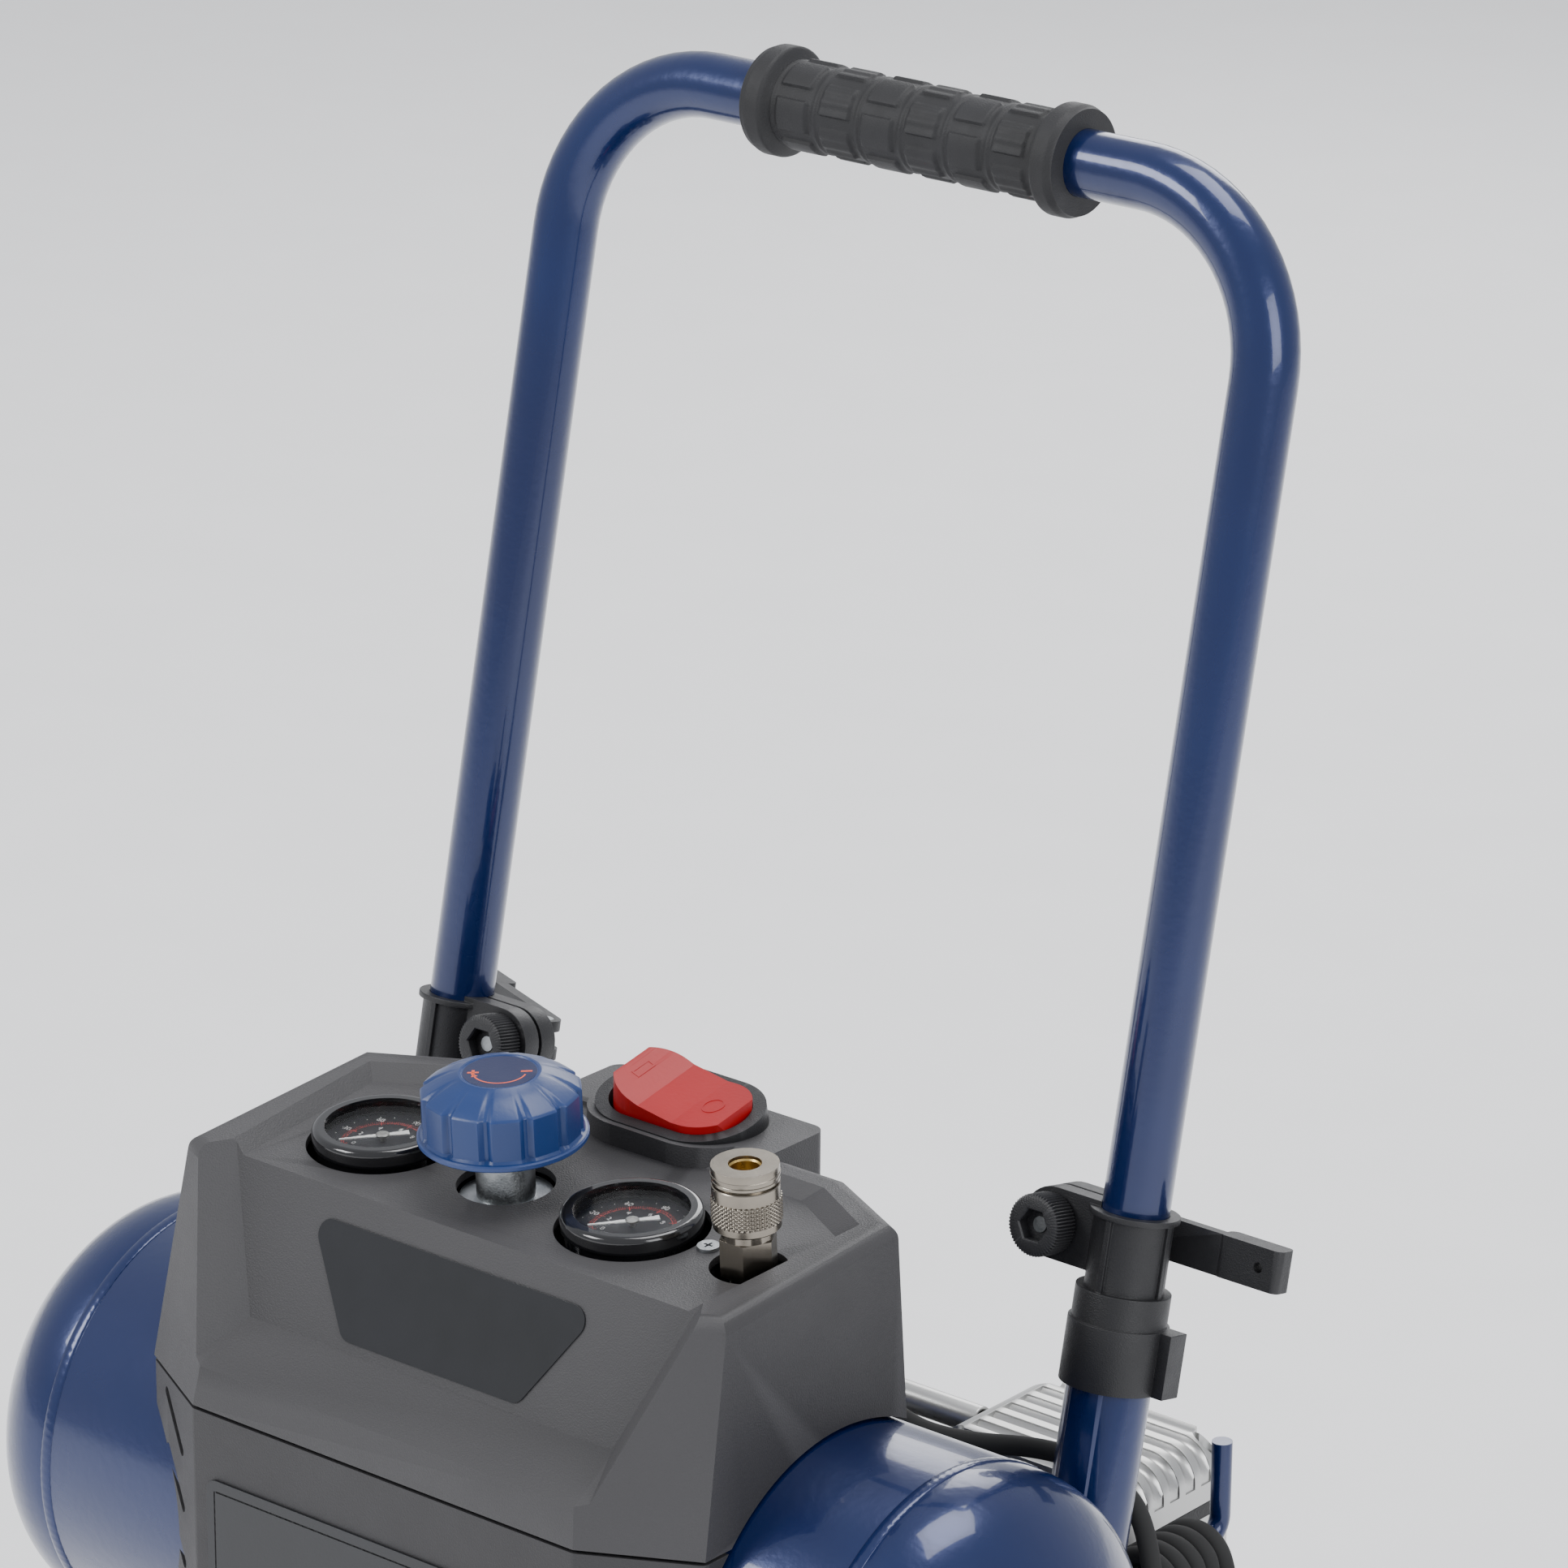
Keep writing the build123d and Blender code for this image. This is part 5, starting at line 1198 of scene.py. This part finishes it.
@dataclass
class TankWelds:
    """The weld beads where the end caps meet the tank's shell."""

    bead_w: float = 0.0052
    bead_h: float = 0.0007
    ripple_h: float = 0.00005
    ripples: int = 150
    steps: int = 600
    across: int = 8

    def build(self) -> None:
        """Build both beads as one piece."""
        low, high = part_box("tank_shell")
        cap_low, cap_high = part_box("tank_end_caps")
        radius = (cap_high[2] - cap_low[2]) / 2
        middle = Vector((0.0, (cap_high[1] + cap_low[1]) / 2, (cap_high[2] + cap_low[2]) / 2))
        parts = []
        for side, edge in ((-1.0, low[0]), (1.0, high[0])):
            centre = Vector((edge, middle.y, middle.z))
            place = seat(centre, Vector((side, 0.0, 0.0)), Vector((0.0, 1.0, 0.0)))
            profile = [(radius - 0.0008, -self.bead_w / 2)]
            for step in range(self.across + 1):
                turn = math.pi * step / self.across
                crown = radius - 0.0001 + self.bead_h * math.sin(turn)
                profile.append((crown, -self.bead_w / 2 * math.cos(turn)))
            profile.append((radius - 0.0008, self.bead_w / 2))

            def ripple(angle: float, number: int) -> float:
                """Return the bead's ripple height at an angle.

                Args:
                    angle: In radians.
                    number: The profile point's number.

                Returns:
                    The extra radius.
                """
                on_bead = number <= self.across + 1
                share = math.sin(math.pi * max(0, number - 1) / self.across) if on_bead else 0.0
                wander = 1.2 * math.sin(3.0 * angle) + number * 0.7
                return self.ripple_h * share * math.sin(self.ripples * angle + wander)

            parts.append((turned("bead", profile[::-1], place, self.steps, True, ripple), BLUE_PAINT))
        settle(merged("tank_weld_beads", parts), CHASSIS, "blue_paint")


@dataclass
class Wheels:
    """The solid tyres, with their tread blocks and side rings."""

    steps: int = 256
    blocks: int = 32
    groove: float = 0.0022
    rim_r: float = 0.0662
    shoulder: float = 0.0085

    def _tyre(self, tag: str, body: str) -> None:
        """Build one tyre round its hub.

        Args:
            tag: Which side, left or right.
            body: The CAD body that it rides on.
        """
        low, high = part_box("tyre_" + tag)
        width = high[0] - low[0]
        outer = (high[2] - low[2]) / 2
        middle = Vector((low[0], (high[1] + low[1]) / 2, (high[2] + low[2]) / 2))
        place = seat(middle, Vector((1.0, 0.0, 0.0)), Vector((0.0, 1.0, 0.0)))
        profile = [(self.rim_r, 0.0004), (self.rim_r + 0.0030, 0.0), (self.rim_r + 0.0034, 0.0008),
                   (self.rim_r + 0.0052, 0.0008), (self.rim_r + 0.0056, 0.0), (outer - self.shoulder, 0.0)]
        for step in range(1, 8):
            turn = math.pi / 2 * step / 8
            profile.append((outer - self.shoulder + self.shoulder * math.sin(turn),
                            self.shoulder - self.shoulder * math.cos(turn)))
        tread = [(outer, self.shoulder + (width - 2 * self.shoulder) * step / 12) for step in range(13)]
        half = len(profile)
        mirror = [(radius, width - height) for radius, height in reversed(profile)]
        whole = profile + tread + mirror

        def cut(angle: float, number: int) -> float:
            """Return how far the tread is cut in at an angle.

            Args:
                angle: In radians.
                number: The profile point's number.

            Returns:
                The extra radius.
            """
            if number < half - 3 or number > half + 15:
                return 0.0
            row = number - half
            if row in (4, 8):
                return -self.groove * 0.8
            phase = (angle / (2.0 * math.pi) * self.blocks + (0.5 if 4 < row < 8 else 0.0)) % 1.0
            return -self.groove if phase < 0.16 else 0.0

        tyre = turned(tag + "_tread_tyre", whole, place, self.steps, True, cut)
        settle(tyre, body, "tyre", TYRE_RUBBER, ("tyre_" + tag,))

    def build(self) -> None:
        """Build both tyres."""
        self._tyre("left", "left_wheel")
        self._tyre("right", "right_wheel")


@dataclass
class PowerCord:
    """The supply lead: relief, short run, five turns on the hooks, tail and plug."""

    diameter: float = 0.0078
    length: float = 1.97
    hook_x: float = 0.16685
    top_z: float = 0.208
    low_z: float = 0.080
    turn_r: float = 0.0129
    first_y: float = 0.0392
    turns: int = 5
    pitch: float = 0.0079
    arc_steps: int = 5
    run_steps: int = 3
    relief_len: float = 0.0235
    lead: tuple[Point, ...] = (
        (0.0576, -0.0086, 0.2898), (0.0780, 0.0030, 0.2680), (0.0990, 0.0110, 0.2605),
        (0.1330, 0.0360, 0.2590),
        (0.1570, 0.0420, 0.2500), (0.1710, 0.0415, 0.2360), (0.1798, 0.0392, 0.2100),
    )
    tail: tuple[Point, ...] = (
        (0.1800, 0.0830, 0.1910), (0.18005, 0.1110, 0.1900), (0.17845, 0.1310, 0.1720),
        (0.17545, 0.1400, 0.1460),
        (0.17245, 0.1380, 0.1210),
    )

    def _hank(self) -> list[Point]:
        """Work out the turns that are wound on the two hooks.

        Returns:
            The turns' points, in order along the cord.
        """
        points: list[Point] = []
        reach = self.turn_r / math.cos(math.pi / (2 * self.arc_steps))
        per_turn = 2 * self.arc_steps + 2 * self.run_steps
        for turn in range(self.turns):
            loose = 0.0012 * math.sin(2.1 * turn + 0.6)
            for number in range(per_turn):
                y = self.first_y + self.pitch * (turn + number / per_turn)
                if number < self.run_steps:
                    share = (number + 0.5) / self.run_steps
                    x, z = self.turn_r, self.top_z + (self.low_z - self.top_z) * share
                elif number < self.run_steps + self.arc_steps:
                    angle = -math.pi * (number - self.run_steps + 0.5) / self.arc_steps
                    x, z = reach * math.cos(angle), self.low_z + reach * math.sin(angle) - abs(loose)
                elif number < 2 * self.run_steps + self.arc_steps:
                    share = (number - self.run_steps - self.arc_steps + 0.5) / self.run_steps
                    x, z = -self.turn_r, self.low_z + (self.top_z - self.low_z) * share
                else:
                    step = number - 2 * self.run_steps - self.arc_steps
                    angle = math.pi - math.pi * (step + 0.5) / self.arc_steps
                    x, z = reach * math.cos(angle), self.top_z + reach * math.sin(angle)
                points.append((self.hook_x + x, y, z))
        return points

    def _curve(self) -> bpy.types.Object:
        """Build the cord as one smooth open spline.

        Returns:
            The cord.
        """
        route = list(self.lead[:-1]) + self._hank() + list(self.tail)
        data = bpy.data.curves.new("supply_cord", "CURVE")
        data.dimensions = "3D"
        data.bevel_depth = self.diameter / 2
        data.bevel_resolution = 6
        data.resolution_u = 10
        data.use_fill_caps = True
        spline = data.splines.new("NURBS")
        spline.points.add(len(route) - 1)
        for point, where in zip(spline.points, route):
            point.co = (*where, 1.0)
        spline.order_u = 3
        spline.use_endpoint_u = True
        made = bpy.data.objects.new("supply_cord", data)
        bpy.context.scene.collection.objects.link(made)
        return made

    def _relief(self) -> bpy.types.Object:
        """Build the tapered relief with its flexing ribs.

        Returns:
            The relief.
        """
        start = Vector(self.lead[0])
        ahead = (Vector(self.lead[1]) - start).normalized()
        place = seat(start - ahead * self.relief_len, ahead)
        profile = [(0.0001, 0.004), (0.0074, 0.004), (0.0074, 0.0085)]
        for rib in range(6):
            at = 0.0090 + 0.0024 * rib
            reach = 0.0071 - 0.00034 * rib
            root = reach - 0.0011
            profile += [(root, at), (root, at + 0.0009), (reach, at + 0.0011), (reach, at + 0.0021)]
        profile += [(0.0050, 0.0236), (0.0041, 0.0242), (0.0001, 0.0242)]
        return turned("cord_relief", profile, place, 64)

    def _plug(self) -> bpy.types.Object:
        """Build the moulded plug with its blades.

        Returns:
            The plug, with its blades joined to it.
        """
        start = Vector(self.tail[-1])
        ahead = (start - Vector(self.tail[-2])).normalized()
        place = seat(start, ahead)
        stages = ((0.0, 0.0044, 0.0044, 2.0), (0.004, 0.0060, 0.0058, 2.0), (0.010, 0.0100, 0.0084, 2.6),
                  (0.014, 0.0108, 0.0088, 3.4), (0.024, 0.0104, 0.0084, 3.4), (0.0305, 0.0108, 0.0088, 4.0),
                  (0.0316, 0.0105, 0.0085, 4.0), (0.0320, 0.0098, 0.0078, 4.0))
        rings = []
        for height, wide, deep, power in stages:
            ring = []
            for step in range(64):
                angle = 2.0 * math.pi * step / 64
                ca, sa = math.cos(angle), math.sin(angle)
                shape = (abs(ca) ** power + abs(sa) ** power) ** (-1.0 / power)
                ring.append((wide * shape * ca, deep * shape * sa, height))
            rings.append(ring)
        parts = [(skin("plug_body", rings, place), SHEATH)]
        for x in (-0.00635, 0.00635):
            blade = bar(x, -0.002, 0.0015, 0.0063, 0.0)
            parts.append((plate("blade", blade, 0.0318, 0.0478, place), BRASS))
        pin = [(0.0001, 0.0318), (0.0024, 0.0318), (0.0024, 0.0488), (0.0016, 0.0498), (0.0001, 0.0499)]
        earth = seat(place @ Vector((0.0, 0.0055, 0.0)), ahead, place.to_3x3() @ Vector((1.0, 0.0, 0.0)))
        parts.append((turned("earth_pin", pin, earth, 32), BRASS))
        return merged("moulded_plug", parts)

    def build(self) -> None:
        relief = settle(self._relief(), CHASSIS, "cord_sheath", SHEATH)
        plug = settle(self._plug(), CHASSIS, "cord_sheath", None, ("power_plug",))
        cord = self._curve()
        settle(cord, CHASSIS, "cord_sheath", SHEATH, ("power_cord", "power_cord_hank"))


@dataclass
class LabelBorders:
    """The plain printed outline on the front badge plate."""

    line: float = 0.0007
    lift: float = 0.00003

    def build(self) -> None:
        """Build the border of the badge plate."""
        low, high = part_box("face_plates")
        depth = low[1]
        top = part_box("front_cover")[1][2] - 0.0286
        centre = Vector((0.0, depth + self.lift, top - 0.030))
        place = seat(centre, Vector((0.0, -1.0, 0.0)))
        half_x, half_z = (high[0] - low[0]) / 2 - 0.004, 0.0285
        parts = []
        for sign in (-1.0, 1.0):
            upright = bar(sign * half_x, 0.0, self.line, 2 * half_z, 0.0)
            parts.append((plate("side_line", upright, 0.0, self.lift, place), LABEL_LINE))
            level = bar(0.0, sign * half_z, 2 * half_x, self.line, 0.0)
            parts.append((plate("end_line", level, 0.0, self.lift, place), LABEL_LINE))
        settle(merged("badge_border", parts), CHASSIS, "label_film")


@dataclass
class Studio:
    """The pale floor, the soft lights and the camera."""

    floor_half: float = 6.0
    eye: Point = (1.54872, -1.83744, 1.36210)
    aim: Point = (0.1879, -0.195, 0.599)
    lens: float = 157.96
    roll_deg: float = 0.38
    floor_glow: float = 0.22

    def _floor(self) -> None:
        """Lay the floor."""
        pale = Finish("studio_floor", (0.86, 0.86, 0.87), (0.84, 0.84, 0.85), 0.75)
        half = self.floor_half
        corners = [(-half, -half, 0.0), (half, -half, 0.0), (half, half, 0.0), (-half, half, 0.0)]
        floor = solid("floor", corners, [(0, 1, 2, 3)], Matrix.Identity(4))
        floor.data.materials.append(pale.material())
        shader = pale.material().node_tree.nodes["Principled BSDF"]
        shader.inputs["Emission Color"].default_value = (1.0, 1.0, 1.0, 1.0)
        shader.inputs["Emission Strength"].default_value = self.floor_glow

    def _light(self, name: str, at: Point, power: float, size: float,
               tint: Point = (1.0, 1.0, 1.0)) -> None:
        """Hang one square soft box that faces the object.

        Args:
            name: The light's name.
            at: Where it hangs.
            power: Its power in watts.
            size: Its side in metres.
            tint: Its colour.
        """
        data = bpy.data.lights.new(name, "AREA")
        data.energy = power
        data.shape = "SQUARE"
        data.size = size
        data.color = tuple(tint)
        lamp = bpy.data.objects.new(name, data)
        lamp.location = at
        lamp.rotation_euler = (Vector((0.0, 0.0, 0.35)) - Vector(at)).to_track_quat("-Z", "Y").to_euler()
        bpy.context.scene.collection.objects.link(lamp)

    def _camera(self) -> None:
        """Set the camera at its stand."""
        data = bpy.data.cameras.new("camera")
        data.lens = self.lens
        data.sensor_width = 36.0
        camera = bpy.data.objects.new("camera", data)
        gaze = Vector(self.aim) - Vector(self.eye)
        roll = Matrix.Rotation(math.radians(self.roll_deg), 3, "Z")
        turn = gaze.to_track_quat("-Z", "Y").to_matrix() @ roll
        camera.matrix_world = Matrix.Translation(self.eye) @ turn.to_4x4()
        bpy.context.scene.collection.objects.link(camera)
        bpy.context.scene.camera = camera

    def build(self) -> None:
        """Set up the whole studio."""
        self._floor()
        self._light("key_box", (-1.6, -2.4, 2.6), 66.0, 1.3)
        self._light("fill_box", (2.6, -0.6, 1.7), 36.0, 1.5, (0.97, 0.98, 1.0))
        self._light("top_box", (0.2, 0.6, 2.9), 40.0, 1.4)
        self._light("back_box", (-1.2, 2.6, 1.8), 30.0, 1.5)
        world = bpy.data.worlds.new("studio")
        world.use_nodes = True
        world.node_tree.nodes["Background"].inputs["Color"].default_value = (0.93, 0.95, 1.0, 1.0)
        world.node_tree.nodes["Background"].inputs["Strength"].default_value = 0.72
        bpy.context.scene.world = world
        self._camera()


def main() -> None:
    """Build every sub-assembly."""
    logging.basicConfig(level=logging.INFO, format="%(message)s")
    Studio().build()
    CarriedPieces().build()
    PowerCord().build()
    GaugePair().build()
    PressureKnob().build()
    Coupler().build()
    Grip().build()
    ClampSet().build()
    SwitchMarks().build()
    HeadWebs().build()
    TankWelds().build()
    Wheels().build()
    LabelBorders().build()


if __name__ == "__main__":
    main()
